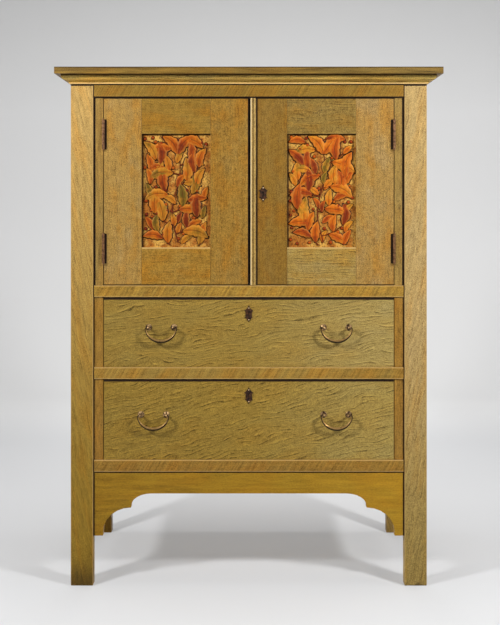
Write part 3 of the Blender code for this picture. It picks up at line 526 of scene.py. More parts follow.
doorFoot, doorHead = [corner.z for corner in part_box("left_door_hinge_stile")]
doorEnds = [
    {"y": skin, "z": atFoot(doorFoot, doorDetail["line"])},
    {"y": skin, "z": atHead(doorHead, doorDetail["line"])},
]
for seed, sign, hand in ((20, -1, "left"), (24, 1, "right")):
    hingeTone, meetingTone, topTone, bottomTone = doorTones[hand]
    shadeX = tuple(sorted(sign * x for x in doorDetail["hingeShadeX"]))
    hingeShades = []
    for level in ("upper", "lower"):
        middle = middleOf(f"left_{level}_hinge_door_leaf").z
        hingeShades.append({"x": shadeX, "y": skin, "z": span(middle, doorDetail["hingeHalf"])})
    meetingShades = [keyholeShade("door")] if hand == "right" else []
    meetingShades.append({"x": doorDetail["meetingShade"][hand], "y": skin})
    hingeStile = {"base": hingeTone, "shadeBoxes": doorEnds + hingeShades}
    meetingStile = {"base": meetingTone, "shadeBoxes": doorEnds + meetingShades}
    crossRail = {"grain": "x", "flakes": doorDetail["railFlakes"][hand], "shadeBoxes": doorEnds}
    dressOak(hand + "_door_hinge_stile", seed, door, hingeStile)
    dressOak(hand + "_door_meeting_stile", seed + 1, door, meetingStile)
    dressOak(hand + "_door_top_rail", seed + 2, door, crossRail, {"base": topTone})
    dressOak(hand + "_door_bottom_rail", seed + 3, door, crossRail, doorSill, {"base": bottomTone})
# painted highlight on the first bead, painted shade in the gap before it and in the quirk between the beads
bead = {
    "base": tone(166, 136, 74),
    "patches": 0.2,
    "wearHighlight": tone(228, 202, 152),
    "wearHighlightEdges": (("x", "-", 0.0054),),
    "wearHighlightWidth": 0.0024,
    "wearHighlightAmount": 0.8,
    "paintedShadeEdges": ("x-",),
    "paintedShadeWidth": 0.0012,
    "shadeBoxes": ({"x": (0.0103, 0.0127)},),
    "ease": 0.0,
}
dressOak("right_door_astragal", 29, door, bead)

drawer = {
    "grain": "x",
    "base": tone(143, 117, 52),
    # painted light: lighter towards the right
    "lean": 0.19,
    "drift": (1.12, 1.24, 1.95, 1.0),
    "warm": (1.04, 0.94, 0.76, 1.0),
    "cool": (0.95, 1.02, 1.25, 1.0),
    "patchRate": (8.0, 20.0),
    "slope": 0.24,
    "wander": 0.05,
    "rayRate": (70.0, 260.0),
    "flecks": 0.14,
    "lines": 0.12,
    "flakes": 0.5,
    "flakeRate": (26.0, 112.0),
    "flakeBend": 4.0,
    "grit": 1.5,
    "ease": 0.0007,
}
railShadow = 0.0054  # on a drawer, under the rail that it closes below
drawerChanges = {"upper_drawer": {"slope": 0.12}, "lower_drawer": {"base": tone(141, 114, 46)}}
for seed, (name, change) in enumerate(drawerChanges.items(), 30):
    shadow = {"y": skin, "z": atHead(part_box(name + "_front")[1].z, railShadow)}
    dressOak(name + "_front", seed, drawer, change, {"shadeBoxes": (keyholeShade(name), shadow)})

inner = {
    "base": tone(196, 164, 112),
    "grit": 0.5,
    "rayRate": (6.0, 90.0),
    "rough": 0.6,
    "ease": 0.0005,
}
innerBoards = ["cupboard_floor", "cupboard_shelf", "upper_drawer_deck", "lower_drawer_deck"]
for level in ("upper", "lower"):
    for board in ("left_side", "right_side", "back", "bottom"):
        innerBoards.append(f"{level}_drawer_{board}")
for seed, board in enumerate(innerBoards, 40):
    grain = "x" if board.endswith(("back", "bottom", "floor", "shelf")) else "y"
    dressOak(board, seed, inner, {"grain": grain})
print("doors and drawers dressed")


# mesh makers
def addPiece(name, data, material=None):
    piece = bpy.data.objects.new(name, data)
    scene.collection.objects.link(piece)
    if material:
        data.materials.clear()
        data.materials.append(material)
    return piece


def fromBmesh(name, bm, smooth=True):
    mesh = bpy.data.meshes.new(name)
    for face in bm.faces:
        face.smooth = smooth
    bm.to_mesh(mesh)
    bm.free()
    return mesh


def plainMesh(piece):  # what the piece's modifiers make, as a mesh of its own
    graph = bpy.context.evaluated_depsgraph_get()
    graph.update()
    return bpy.data.meshes.new_from_object(piece.evaluated_get(graph), depsgraph=graph)


def discard(*pieces):
    for piece in pieces:
        bpy.data.objects.remove(piece)


def turned(profile, steps):  # (radius, reach) turned about the axis that points out of the front
    bm = bmesh.new()
    rings = []
    for radius, reach in profile:
        ring = []
        for k in range(steps if radius else 1):
            angle = math.tau * k / steps
            ring.append(bm.verts.new((radius * math.cos(angle), -reach, radius * math.sin(angle))))
        rings.append(ring)
    for first, second in zip(rings, rings[1:]):
        for k in range(steps):
            after = k + 1
            corners = [first[k % len(first)], first[after % len(first)]]
            corners += [second[after % len(second)], second[k % len(second)]]
            bm.faces.new(list(dict.fromkeys(corners)))
    bmesh.ops.recalc_face_normals(bm, faces=bm.faces)
    return bm


def addBlock(bm, low, high, ease=0.0):
    made = bmesh.ops.create_cube(bm, size=1.0)["verts"]
    low, high = Vector(low), Vector(high)
    bmesh.ops.scale(bm, vec=high - low, verts=made)
    bmesh.ops.translate(bm, vec=(low + high) / 2, verts=made)
    if ease:
        edges = list({edge for vert in made for edge in vert.link_edges})
        bmesh.ops.bevel(bm, geom=edges, offset=ease, segments=2, profile=0.5, affect="EDGES")


def blockMesh(name, low, high, ease):
    bm = bmesh.new()
    addBlock(bm, low, high, ease)
    return fromBmesh(name, bm, False)


def fillRows(bm, rows):  # faces between rows of points
    for first, second in zip(rows, rows[1:]):
        for k in range(len(first) - 1):
            bm.faces.new((first[k], first[k + 1], second[k + 1], second[k]))


def mark(mesh, name, values, kind="FLOAT"):  # one value at each point
    mesh.attributes.new(name, kind, "POINT").data.foreach_set("value", values)


def pathMesh(name, points, edges, thick):
    mesh = bpy.data.meshes.new(name)
    mesh.from_pydata(points, edges, [])
    mark(mesh, "thick", thick)
    return mesh


def carved(name, bm, cutters):  # a mesh with other meshes cut out of it
    body = addPiece(name, fromBmesh(name, bm, False))
    tools = []
    for index, cutter in enumerate(cutters):
        tool = addPiece(f"{name} cutter {index}", fromBmesh(name + " cutter", cutter, False))
        cut = body.modifiers.new("cut", "BOOLEAN")
        cut.operation = "DIFFERENCE"
        cut.solver = "EXACT"
        cut.object = tool
        tools.append(tool)
    mesh = plainMesh(body)
    discard(body, *tools)
    return mesh


def flatPlate(name, outlines, half, bevel):  # the first outline filled, the rest holes in it
    curve = bpy.data.curves.new(name, "CURVE")
    curve.dimensions = "2D"
    curve.fill_mode = "BOTH"
    curve.extrude = half
    curve.bevel_depth = bevel
    curve.bevel_resolution = 1
    for outline in outlines:
        spline = curve.splines.new("POLY")
        spline.points.add(len(outline) - 1)
        for point, (x, y) in zip(spline.points, outline):
            point.co = (x, y, 0.0, 1.0)
        spline.use_cyclic_u = True
    made = addPiece(name, curve)
    mesh = plainMesh(made)
    discard(made)
    mesh.transform(Matrix.Rotation(math.radians(90), 4, "X"))
    bm = bmesh.new()
    bm.from_mesh(mesh)
    bmesh.ops.remove_doubles(bm, verts=bm.verts, dist=0.000002)
    bmesh.ops.recalc_face_normals(bm, faces=bm.faces)
    bm.to_mesh(mesh)
    bm.free()
    return mesh


# geometry nodes: pieces set out on points, and a rod that swells along a path
def newTree(name, inputs):
    tree = bpy.data.node_groups.new(name, "GeometryNodeTree")
    for label, kind in inputs:
        tree.interface.new_socket(label, in_out="INPUT", socket_type="NodeSocket" + kind)
    tree.interface.new_socket("Result", in_out="OUTPUT", socket_type="NodeSocketGeometry")
    graph = Graph(tree)
    entry = tree.nodes.new("NodeGroupInput")
    return tree, graph, [Wire(graph, entry.outputs[index]) for index in range(len(inputs))]


def named(graph, name, kind):
    return graph.node("GeometryNodeInputNamedAttribute", {"data_type": kind}, {"Name": name})


def endTree(graph, shape, finish):
    real = graph.node("GeometryNodeRealizeInstances", {}, {"Geometry": shape})
    dressed = graph.node("GeometryNodeSetMaterial", {}, {"Geometry": real, "Material": finish})
    graph.node("NodeGroupOutput", {}, {0: dressed})


setInputs = (("Points", "Geometry"), ("Pieces", "Collection"), ("Size", "Float"), ("Finish", "Material"))
setTree, graph, (points, pieces, size, finish) = newTree("setOut", setInputs)
links = {"Collection": pieces, "Separate Children": True, "Reset Children": True}
picked = graph.node("GeometryNodeCollectionInfo", {}, links)
turn = graph.node("FunctionNodeEulerToRotation", {}, {0: named(graph, "turn", "FLOAT_VECTOR")})
links = {"Points": points, "Instance": picked, "Pick Instance": True, "Rotation": turn}
links["Instance Index"] = named(graph, "pick", "INT")
links["Scale"] = named(graph, "size", "FLOAT") * size
endTree(graph, graph.node("GeometryNodeInstanceOnPoints", {}, links), finish)

rodInputs = (("Path", "Geometry"), ("Thickness", "Float"), ("Sides", "Int"), ("Finish", "Material"))
rodTree, graph, (path, thickness, sides, finish) = newTree("swelledRod", rodInputs)
line = graph.node("GeometryNodeMeshToCurve", {}, {"Mesh": path})
ring = graph.node("GeometryNodeCurvePrimitiveCircle", {}, {"Resolution": sides, "Radius": 1.0})
links = {"Curve": line, "Profile Curve": ring, "Fill Caps": True}
links["Scale"] = named(graph, "thick", "FLOAT") * thickness
rod = graph.node("GeometryNodeCurveToMesh", {}, links)
endTree(graph, graph.node("GeometryNodeSetShadeSmooth", {}, {"Geometry": rod}), finish)


def runTree(name, mesh, tree, values):
    carrier = addPiece(name, mesh)
    modifier = carrier.modifiers.new(tree.name, "NODES")
    modifier.node_group = tree
    for item in tree.interface.items_tree:
        if item.in_out == "INPUT" and item.name in values:
            modifier[item.identifier] = values[item.name]
    made = plainMesh(carrier)
    discard(carrier)
    made.name = name
    return addPiece(name, made)


def setOut(name, shapes, spots, material):  # a spot is (place, turn, size, pick, tint)
    stock = bpy.data.collections.new(name + " stock")
    for index, shape in enumerate(shapes):
        stock.objects.link(bpy.data.objects.new(f"{name} {index:02d}", shape))
    mesh = bpy.data.meshes.new(name)
    mesh.from_pydata([spot[0] for spot in spots], [], [])
    for label, kind, index in (("size", "FLOAT", 2), ("pick", "INT", 3), ("tint", "FLOAT", 4)):
        mark(mesh, label, [spot[index] for spot in spots], kind)
    turns = [angle for spot in spots for angle in spot[1]]
    mesh.attributes.new("turn", "FLOAT_VECTOR", "POINT").data.foreach_set("vector", turns)
    made = runTree(name, mesh, setTree, {"Pieces": stock, "Size": 1.0, "Finish": material})
    discard(*stock.objects)
    bpy.data.collections.remove(stock)
    return made


def spotAt(where, pick=0, turn=(0, 0, 0)):  # a spot for a piece at its own size
    return (where, turn, 1.0, pick, 0.5)


# bronze: brown patina, rubbed bright where hands and keys reach
def bronzeFinish(name, bright, patina, rubbed, rough, metal=0.85, shaded=0.0):  # shaded: painted shade on the side turned away from the bail's inside
    finish = Finish(name)
    x, y, z = finish.place()
    cloud = finish.noise(x * 140, y * 140, z * 140, 3)
    fine = finish.noise(x * 900, y * 900, z * 900, 2)
    wear = finish.step(cloud + (fine - 0.5) * 0.3, 0.5 - rubbed * 0.5, 0.95 - rubbed * 0.5)
    if shaded:
        wear = wear * (1 - finish.attribute("under") * shaded)
    colour = finish.blend(wear, patina, bright)
    sockets = {"Base Color": colour, "Metallic": metal, "Roughness": rough + (1 - wear) * 0.2}
    sockets["Specular IOR Level"] = 0.25
    return finish.surface(sockets, fine, 0.15, 0.0002)


pullBronze = bronzeFinish("pull bronze", tone(204, 166, 114), tone(40, 22, 8), 0.32, 0.24, 0.6)
bailBronze = bronzeFinish("bail bronze", tone(150, 117, 68), tone(20, 10, 4), 0.85, 0.3, 0.55, 1.0)
plateBronze = bronzeFinish("plate bronze", tone(84, 50, 24), tone(18, 9, 4), 0.36, 0.5, 0.1)
hingeBrass = bronzeFinish("hinge brass", tone(132, 94, 62), tone(60, 37, 20), 0.5, 0.38, 0.4)
boltSteel = bronzeFinish("bolt steel", tone(170, 158, 140), tone(104, 88, 70), 0.6, 0.35)
boltEase = 0.0006
for hand in ("left", "right"):
    for level in ("upper", "lower"):
        for leaf in ("case", "door"):
            dress(f"{hand}_{level}_hinge_{leaf}_leaf", hingeBrass)
for lock in keyholes:
    dress(lock + "_lock_bolt", boltSteel)
    easeEdges(nodes[lock + "_lock_bolt"], boltEase)


def place(piece, body, slot, *replaced):
    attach(piece, body)
    if replaced:
        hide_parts(*replaced)


# bail pulls: turned posts on rosettes, and a bail that swells to its middle
pull = {
    "spacing": 0.068,
    "standoff": 0.0165,
    "shank": 0.0025,
    "depth": 0.0213,
    "rosette": 0.0090,
    "head": 0.0048,
    "bore": 0.0026,
    "armX": 0.0413,
    "drop": 0.036,
    "thin": 0.0020,
    "thick": 0.0046,
    "steps": 28,
    "strap": (0.010, 0.0003, 0.0023, 0.006),  # past the posts, front, back, half its height
    "nut": (0.0042, 0.0023, 0.0055),  # half its width, front, back
    "nutTurn": 0.4,
}


def pullPost():
    rosette, head, standoff = pull["rosette"], pull["head"], pull["standoff"]
    shank, depth = pull["shank"], pull["depth"]
    profile = [(0, -depth), (shank, -depth), (shank, 0.0002), (rosette, 0.0002), (rosette, 0.0008)]
    profile += [(rosette - 0.0006, 0.0014), (rosette - 0.0020, 0.0015), (rosette - 0.0026, 0.0022)]
    profile += [(rosette - 0.0040, 0.0026), (0.0044, 0.0032), (0.0034, 0.0046)]
    profile += [(0.0031, 0.0080), (0.0034, 0.0118)]
    for angle in range(-40, 90, 10):
        bend = math.radians(angle)
        profile.append((head * math.cos(bend), standoff + head * math.sin(bend)))
    profile.append((0, standoff + head))
    bore = turned([(0, -0.01), (pull["bore"], -0.01), (pull["bore"], 0.01), (0, 0.01)], 20)
    bmesh.ops.rotate(bore, matrix=Matrix.Rotation(math.radians(90), 3, "Z"), verts=bore.verts)
    bmesh.ops.translate(bore, vec=(0, -standoff, 0), verts=bore.verts)
    mesh = carved("pull post", turned(profile, pull["steps"]), [bore])
    mesh.shade_smooth()
    mesh.set_sharp_from_angle(angle=math.radians(35))
    return mesh


def pullStrap():
    extra, front, back, half = pull["strap"]
    reach = pull["spacing"] / 2 + extra
    return blockMesh("pull strap", (-reach, front, -half), (reach, back, half), 0.0006)


def pullNut():
    half, front, back = pull["nut"]
    return blockMesh("pull nut", (-half, front, -half), (half, back, half), 0.0005)


def bailPath():
    bend = 2 * pull["thin"]
    points = [(-pull["spacing"] / 2 + pull["head"] / 2, 0.0, pull["thin"])]
    for step in range(7):
        angle = math.radians(90 + 15 * step)
        x = -pull["armX"] + bend + bend * math.cos(angle)
        points.append((x, -bend + bend * math.sin(angle), pull["thin"]))
    half = list(points)
    steps = 60
    for step in range(1, steps):
        angle = math.pi * step / steps
        drop = -pull["drop"] * math.sin(angle)
        if drop < -bend * 1.05:
            swell = pull["thin"] + (pull["thick"] - pull["thin"]) * math.sin(angle) ** 2
            points.append((-pull["armX"] * math.cos(angle), drop, swell))
    return points + [(-x, drop, swell) for x, drop, swell in reversed(half)]


pullParts = [pullPost(), pullStrap(), pullNut()]  # a spot picks one by its number
bailRod = bailPath()
bailEdges = [(index, index + 1) for index in range(len(bailRod) - 1)]
for level in ("upper", "lower"):
    for hand in ("left", "right"):
        bail = f"{level}_drawer_{hand}_bail"
        mount = f"{level}_drawer_{hand}_pull_mount"
        middle = middleOf(mount).x
        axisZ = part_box(bail)[1].z - pull["thin"]
        spots = [spotAt((middle, frontBackY, axisZ), 1)]
        for x in span(middle, pull["spacing"] / 2):
            spots.append(spotAt((x, faceY, axisZ)))
            spots.append(spotAt((x, frontBackY, axisZ), 2, (0, pull["nutTurn"], 0)))
        made = setOut(f"{level}_{hand}_pull_posts", pullParts, spots, pullBronze)
        place(made, bodyOf[mount], "bronze", mount)
        points = [(middle + x, faceY - pull["standoff"], axisZ + drop) for x, drop, swell in bailRod]
        line = pathMesh("bail path", points, bailEdges, [swell for x, drop, swell in bailRod])
        values = {"Thickness": 1.0, "Sides": 20, "Finish": bailBronze}
        made = runTree(f"{level}_{hand}_swelled_bail", line, rodTree, values)
        under = []
        for vert in made.data.vertices:  # how far it faces away from the inside of the bail: painted shade there, and a painted highlight along the inner edge
            away = Vector((vert.co.x - middle, 0, vert.co.z - axisZ)).normalized()
            under.append(min(max(vert.normal.dot(away) * 1.6 + 0.65, 0.0), 1.0))
        mark(made.data, "under", under)
        place(made, bodyOf[bail], "bronze", bail)
print("pulls made")


# keyhole plates, with pins, and the locks behind them
millimetre = 0.001
keyPlate = {
    "outline": (  # right half in mm, from the top point down: each corner after the curve's pull towards it
        ((0.0, 22.0),),
        ((3.2, 12.5), (12.2, 8.0)),
        ((8.4, 6.5), (8.2, 2.5)),
        ((7.8, -2.0), (8.2, -6.0)),
        ((8.3, -9.6), (10.3, -10.6)),
        ((3.8, -13.5), (0.0, -22.0)),
    ),
    "keyRound": 2.5,
    "keyRise": 4.2,
    "keySlot": 1.5,
    "keyFoot": -6.0,
    "half": 0.0005,
    "bevel": 0.0004,
    "pins": (15.4, -16.2),
    "pinRadius": 0.0016,
}


def curvedOutline(half, steps=6):
    right = [Vector(half[0][0])]
    for pullPoint, corner in half[1:]:
        start, pullPoint, corner = right[-1].copy(), Vector(pullPoint), Vector(corner)
        for step in range(1, steps + 1):
            t = step / steps
            right.append(start * (1 - t) ** 2 + pullPoint * 2 * t * (1 - t) + corner * t * t)
    left = [Vector((-point.x, point.y)) for point in reversed(right[1:-1])]
    return [(point.x * millimetre, point.y * millimetre) for point in right + left]


def keyholeOutline():
    radius, slot, foot = keyPlate["keyRound"], keyPlate["keySlot"], keyPlate["keyFoot"]
    points = []
    for step in range(13):
        angle = math.radians(-60 + 300 * step / 12)
        points.append((radius * math.cos(angle), keyPlate["keyRise"] + radius * math.sin(angle)))
    points += [(-slot, foot), (slot, foot)]
    return [(x * millimetre, y * millimetre) for x, y in points]


plateOutlines = [curvedOutline(keyPlate["outline"]), keyholeOutline()]
plateMesh = flatPlate("key plate", plateOutlines, keyPlate["half"], keyPlate["bevel"])
radius = keyPlate["pinRadius"]
pinProfile = [(radius, 0), (radius, 0.0003), (radius * 0.8, 0.0008), (radius * 0.45, 0.0011), (0, 0.0012)]
pinMesh = fromBmesh("plate pin", turned(pinProfile, 14))
pinBrass = bronzeFinish("pin brass", tone(232, 200, 150), tone(190, 150, 100), 0.8, 0.28, 0.4)
lockPart = {
    "drawerCase": (0.052, 0.050, 0.0035),  # wide, tall, deep
    "drawerTop": 0.0005,  # the case from the top of the drawer's front
    "doorCase": (0.040, 0.064, 0.0065),
    "doorEdge": 0.001,  # the case from the edge of the door
    "inset": 0.006,  # the screws from the case's sides
    "drawerRise": 0.019,  # and from the middle of its height
    "doorRise": 0.025,
    "edgePlate": (0.052, 0.014),
    "boltHole": (0.0172, 0.0080),
    "half": 0.0002,
    "bevel": 0.0001,
    "gap": 0.0004,  # the middle of an edge plate from the board's edge
    "screw": 0.0028,
}


def rectangle(wide, tall):
    return [(-wide / 2, -tall / 2), (wide / 2, -tall / 2), (wide / 2, tall / 2), (-wide / 2, tall / 2)]


def caseMesh(name, wide, tall, deep):
    return blockMesh(name, (-wide / 2, 0.0002, -tall / 2), (wide / 2, deep, tall / 2), 0.0006)


def screwMesh():
    radius = lockPart["screw"]
    head = turned([(0, -0.002), (radius, -0.002), (radius, 0), (radius * 0.7, 0.0002), (0, 0.0003)], 18)
    slot = bmesh.new()
    addBlock(slot, (-radius * 1.2, -0.001, -0.0004), (radius * 1.2, -0.0004, 0.0004))
    return carved("screw", head, [slot])


screw = screwMesh()
holePlate = [rectangle(*lockPart["edgePlate"]), rectangle(*lockPart["boltHole"])]
edgePlate = flatPlate("lock edge plate", holePlate, lockPart["half"], lockPart["bevel"])
doorCase = caseMesh("door lock case", *lockPart["doorCase"])
drawerCase = caseMesh("drawer lock case", *lockPart["drawerCase"])
lockParts = [edgePlate, doorCase, drawerCase, screw]
square = math.radians(90)
standing, lying = (0, square, square), (square, 0, 0)  # how an edge plate turns in a door and in a drawer
plateDeep = 2 * (keyPlate["half"] + keyPlate["bevel"])
gap = lockPart["gap"]
strikeSpots = {"case": [], "left_door": []}
for lock, (x, z) in keyholes.items():
    body = "right_door" if lock == "door" else lock
    plateSpot = spotAt((x, faceY - plateDeep / 2, z))
    place(setOut(lock + "_key_plate", [plateMesh], [plateSpot], plateBronze), body, "bronze")
    pinSpots = [spotAt((x, faceY - plateDeep, z + pin * millimetre)) for pin in keyPlate["pins"]]
    place(setOut(lock + "_plate_pins", [pinMesh], pinSpots, pinBrass), body, "bronze")
    bolt = middleOf(lock + "_lock_bolt")
    if lock == "door":
        wide, tall, deep = lockPart["doorCase"]
        stileLow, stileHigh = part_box("right_door_meeting_stile")
        rear, rise = stileHigh.y, lockPart["doorRise"]
        caseX, caseZ = stileLow.x + wide / 2 + lockPart["doorEdge"], z
        spots = [spotAt((caseX, rear, caseZ), 1), spotAt((stileLow.x - gap, bolt.y, bolt.z), 0, standing)]
        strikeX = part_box("left_door_meeting_stile")[1].x + gap
        strikeSpots["left_door"].append(spotAt((strikeX, bolt.y, bolt.z), 0, standing))
    else:
        wide, tall, deep = lockPart["drawerCase"]
        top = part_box(lock + "_front")[1].z
        rear, rise = frontBackY, lockPart["drawerRise"]
        caseX, caseZ = x, top - tall / 2 - lockPart["drawerTop"]
        spots = [spotAt((caseX, rear, caseZ), 2), spotAt((x, bolt.y, top + gap), 0, lying)]
        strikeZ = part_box("waist_rail" if lock == "upper_drawer" else "drawer_rail")[0].z - gap
        strikeSpots["case"].append(spotAt((x, bolt.y, strikeZ), 0, lying))
    reach = wide / 2 - lockPart["inset"]
    for across in (-reach, reach):
        for up in (-rise, rise):
            spot = (caseX + across, rear + deep, caseZ + up)
            spots.append(spotAt(spot, 3, (0, 0.3 + across * 40, math.pi)))  # the slots at different slants
    place(setOut(lock + "_lock_case", lockParts, spots, hingeBrass), body, "bronze")
for body, spots in strikeSpots.items():
    place(setOut(body + "_strike_plates", [edgePlate], spots, hingeBrass), body, "bronze")

hinge = {
    "x": 0.3925,  # where the leaves meet, from the middle
    "leafHalf": 0.0004,
    "behind": 0.0107,  # the screws, from the doors' faces
    "screwRises": (-0.027, 0.0, 0.027),
}
draws = random.Random(7)
screwSpots = {"case": [], "left_door": [], "right_door": []}
for hand, sign in (("left", -1), ("right", 1)):
    for level in ("upper", "lower"):
        middle = middleOf(f"{hand}_{level}_hinge_door_leaf").z
        for rise in hinge["screwRises"]:
            spin = draws.uniform(0, math.pi)
            for body, way in (("case", 1), (hand + "_door", -1)):
                x = sign * (hinge["x"] + way * hinge["leafHalf"])
                turn = (0, spin, -way * sign * square)
                screwSpots[body].append(spotAt((x, faceY + hinge["behind"], middle + rise), 0, turn))
for body, spots in screwSpots.items():
    place(setOut(body + "_hinge_screws", [screw], spots, hingeBrass), body, "bronze")
print("locks and screws made")


# door panels: a tooled ground with an upright spray of leaves and berries in relief
spray = {
    "leafLength": 0.063,
    "leafWidth": 0.0295,
    "leafRise": 0.0044,
    "rows": 16,
    "columns": (-1.0, -0.78, -0.45, -0.15, 0.0, 0.15, 0.45, 0.78, 1.0),
    "skirt": 0.0032,
    "teeth": 4,
    "toothDepth": 0.26,
    "bends": (0.17, 0.08, -0.08, -0.17),
    "berry": 0.0044,
    "berryRise": 0.0042,
    "halfWidth": 0.0915,
    "halfHeight": 0.152,
    "margin": 0.003,
    "sway": (0.011, 26.0),  # how far the stem winds, and how fast
    "stemFoot": -0.150,
    "stemStep": 0.010,
    "stemPoints": 28,
    "stemTop": (0.100, (-44, 44, 0)),  # where the top leaves sit, and how they lean
    "levels": 5,
    "step": 0.064,
    "sprigSteps": 20,
    "reach": 0.066,
    "climb": 0.056,
    "leaves": ((0.25, 42), (0.40, -48), (0.62, 44), (0.80, -42), (1.0, 0)),  # share of the sprig, lean
    "tints": (0.04, 0.18, 0.26, 0.34, 0.42, 0.48, 0.56, 0.66, 0.78, 0.98),
    "trials": (500, 900),  # for small leaves, and then for berries, where the ground is still bare
    "bare": (0.0185, 0.0125),
    "berriesApart": 0.012,
    "stem": 0.0022,
    "light": {"left": 0.66, "right": 0.88},
    "hues": (
        (0.0, tone(126, 44, 12)),
        (0.25, tone(170, 72, 14)),
        (0.5, tone(198, 100, 16)),
        (0.75, tone(200, 130, 34)),
        (1.0, tone(112, 90, 24)),
    ),
    "groundCells": (44, 70),
    "groundTooling": 0.0004,
}


def tintLayers(bm):  # what the tint reads at each point
    return [bm.verts.layers.float.new(name) for name in ("rim", "along", "across")]


def leafMesh(name, bend):
    bm = bmesh.new()
    rim, alongLayer, acrossLayer = tintLayers(bm)
    rows, columns = spray["rows"], spray["columns"]
    length, width = spray["leafLength"], spray["leafWidth"]
    rise, skirtWidth = spray["leafRise"], spray["skirt"]
    grid = []
    for row in range(-1, rows + 2):
        s = min(max(row / rows, 0.0), 1.0)
        outer = row < 0 or row > rows
        tooth = 1 - spray["toothDepth"] * (s * spray["teeth"] % 1.0)
        half = width / 2 * max(math.sin(math.pi * s ** 0.85), 0.0) ** 0.8 * tooth + 0.0006
        middle = bend * length * math.sin(math.pi * s * 0.9)
        line = []
        for column in (columns[0] - 1, *columns, columns[-1] + 1):
            t = min(max(column, -1.0), 1.0)
            skirt = outer or abs(column) > 1
            spread = half * t + (math.copysign(skirtWidth, t) if abs(column) > 1 else 0.0)
            end = -skirtWidth if row < 0 else skirtWidth if row > rows else 0.0
            dome = (1 - abs(t) ** 2.4) ** 0.7
            veins = 0.5 + 0.5 * math.cos(math.tau * (s * 6.5 - abs(t) * 1.1))
            height = rise * (0.42 + 0.58 * dome * math.sin(math.pi * min(s * 0.9 + 0.08, 1.0)) ** 0.6)
            height -= 0.0011 * math.exp(-((t / 0.09) ** 2)) + 0.0005 * veins * dome
            vert = bm.verts.new((middle + spread, 0.0008 if skirt else -height, s * length + end))
            # rim: 1 on the skirt, painted dark as shade round the leaf, 0.35 along its edge
            vert[rim] = 1.0 if skirt else 0.35 if abs(t) == 1 or row in (0, rows) else 0.0
            vert[alongLayer] = s
            vert[acrossLayer] = abs(t)
            line.append(vert)
        grid.append(line)
    fillRows(bm, grid)
    return fromBmesh(name, bm)


def berryMesh():
    radius, rise = spray["berry"], spray["berryRise"]
    profile = [(radius * 1.35, -0.0008)]
    for angle in range(0, 90, 15):
        bend = math.radians(angle)
        profile.append((radius * math.cos(bend), rise * math.sin(bend)))
    profile.append((0, rise))
    bm = turned(profile, 16)
    rim, alongLayer, acrossLayer = tintLayers(bm)
    for vert in bm.verts:
        away = math.hypot(vert.co.x, vert.co.z) / radius
        # rim: 1 on the skirt, painted dark as shade round the berry
        vert[rim] = 1.0 if away > 1.05 else 0.35 if away > 0.97 else 0.0
        vert[alongLayer] = 0.6
        vert[acrossLayer] = 0.4
    return fromBmesh("berry", bm)


def tintFinish(hand):
    finish = Finish(hand + " tinted relief")
    x, y, z = finish.place()
    tint, rim = finish.attribute("tint"), finish.attribute("rim")
    along, across = finish.attribute("along"), finish.attribute("across")
    cloud = finish.noise(x * 55, y * 55, z * 55, 2.5)
    grain = finish.noise(x * 420, y * 300, z * 60, 2)
    hue = tint + (cloud - 0.5) * 0.9 + (along - 0.5) * 0.3
    leaf = finish.node("ShaderNodeValToRGB", {"stops": spray["hues"]}, {0: hue})
    colour = finish.shade(leaf, spray["light"][hand] + across * 0.1 + (grain - 0.5) * 0.8)
    # painted highlight: paler towards each leaf's edges
    colour = finish.blend(finish.step(across, 0.45, 0.8) * 0.3, colour, tone(212, 146, 54))
    colour = finish.blend(finish.step(across, 0.14, 0.04) * 0.6, colour, tone(86, 38, 8))
    # painted shade: dark outlines on the skirts round leaves and berries
    colour = finish.blend(finish.step(rim, 0.22, 0.6), colour, tone(36, 14, 3))
    sockets = {"Base Color": colour, "Roughness": 0.55 + (grain - 0.5) * 0.2, "Specular IOR Level": 0.12}
    return finish.surface(sockets, grain, 0.2, 0.0005)


def groundFinish(hand, low, high):
    finish = Finish(hand + " tooled ground")
    x, y, z = finish.place()
    cloud = finish.noise(x * 40, y * 40, z * 40, 2)
    tooling = finish.noise(x * 260, y * 260, z * 200, 2)
    colour = finish.blend(finish.step(cloud, 0.38, 0.62), tone(164, 98, 28), tone(206, 156, 70))
    colour = finish.blend(finish.step(tooling, 0.54, 0.34) * 0.7, colour, tone(84, 42, 8))
    beside, under = finish.step(x - low.x, 0.0155, 0.0125), finish.step(high.z - z, 0.0135, 0.0110)
    colour = finish.blend(finish.most(beside, under) * 0.9, colour, tone(30, 14, 4))  # the frame's shadow
    grain = finish.noise(x * 380, y * 380, z * 14, 4)
    back = finish.blend(finish.step(grain, 0.3, 0.7), tone(134, 102, 50), tone(162, 128, 70))
    colour = finish.blend(finish.step(y, high.y - 0.0010, high.y - 0.0005), colour, back)
    sockets = {"Base Color": colour, "Roughness": 0.6 - (tooling - 0.5) * 0.2, "Specular IOR Level": 0.2}
    return finish.surface(sockets, tooling, 0.35, 0.0006)


def tooledGround(name, low, high):
    bm = bmesh.new()
    across, up = spray["groundCells"]
    grid = []
    for row in range(up + 1):
        line = []
        for column in range(across + 1):
            x = low.x + (high.x - low.x) * column / across
            z = low.z + (high.z - low.z) * row / up
            dent = noise.noise(Vector((x * 160, 3.1, z * 120))) * spray["groundTooling"]
            border = row in (0, up) or column in (0, across)
            line.append(bm.verts.new((x, low.y + (0 if border else max(dent + 0.0003, 0.0)), z)))
        grid.append(line)
    fillRows(bm, grid)
    rimEdges = [edge for edge in bm.edges if edge.is_boundary]
    for item in bmesh.ops.extrude_edge_only(bm, edges=rimEdges)["geom"]:
        if isinstance(item, bmesh.types.BMVert):
            item.co.y = high.y
    bmesh.ops.contextual_create(bm, geom=[edge for edge in bm.edges if edge.is_boundary])
    bmesh.ops.recalc_face_normals(bm, faces=bm.faces)
    return fromBmesh(name, bm, False)


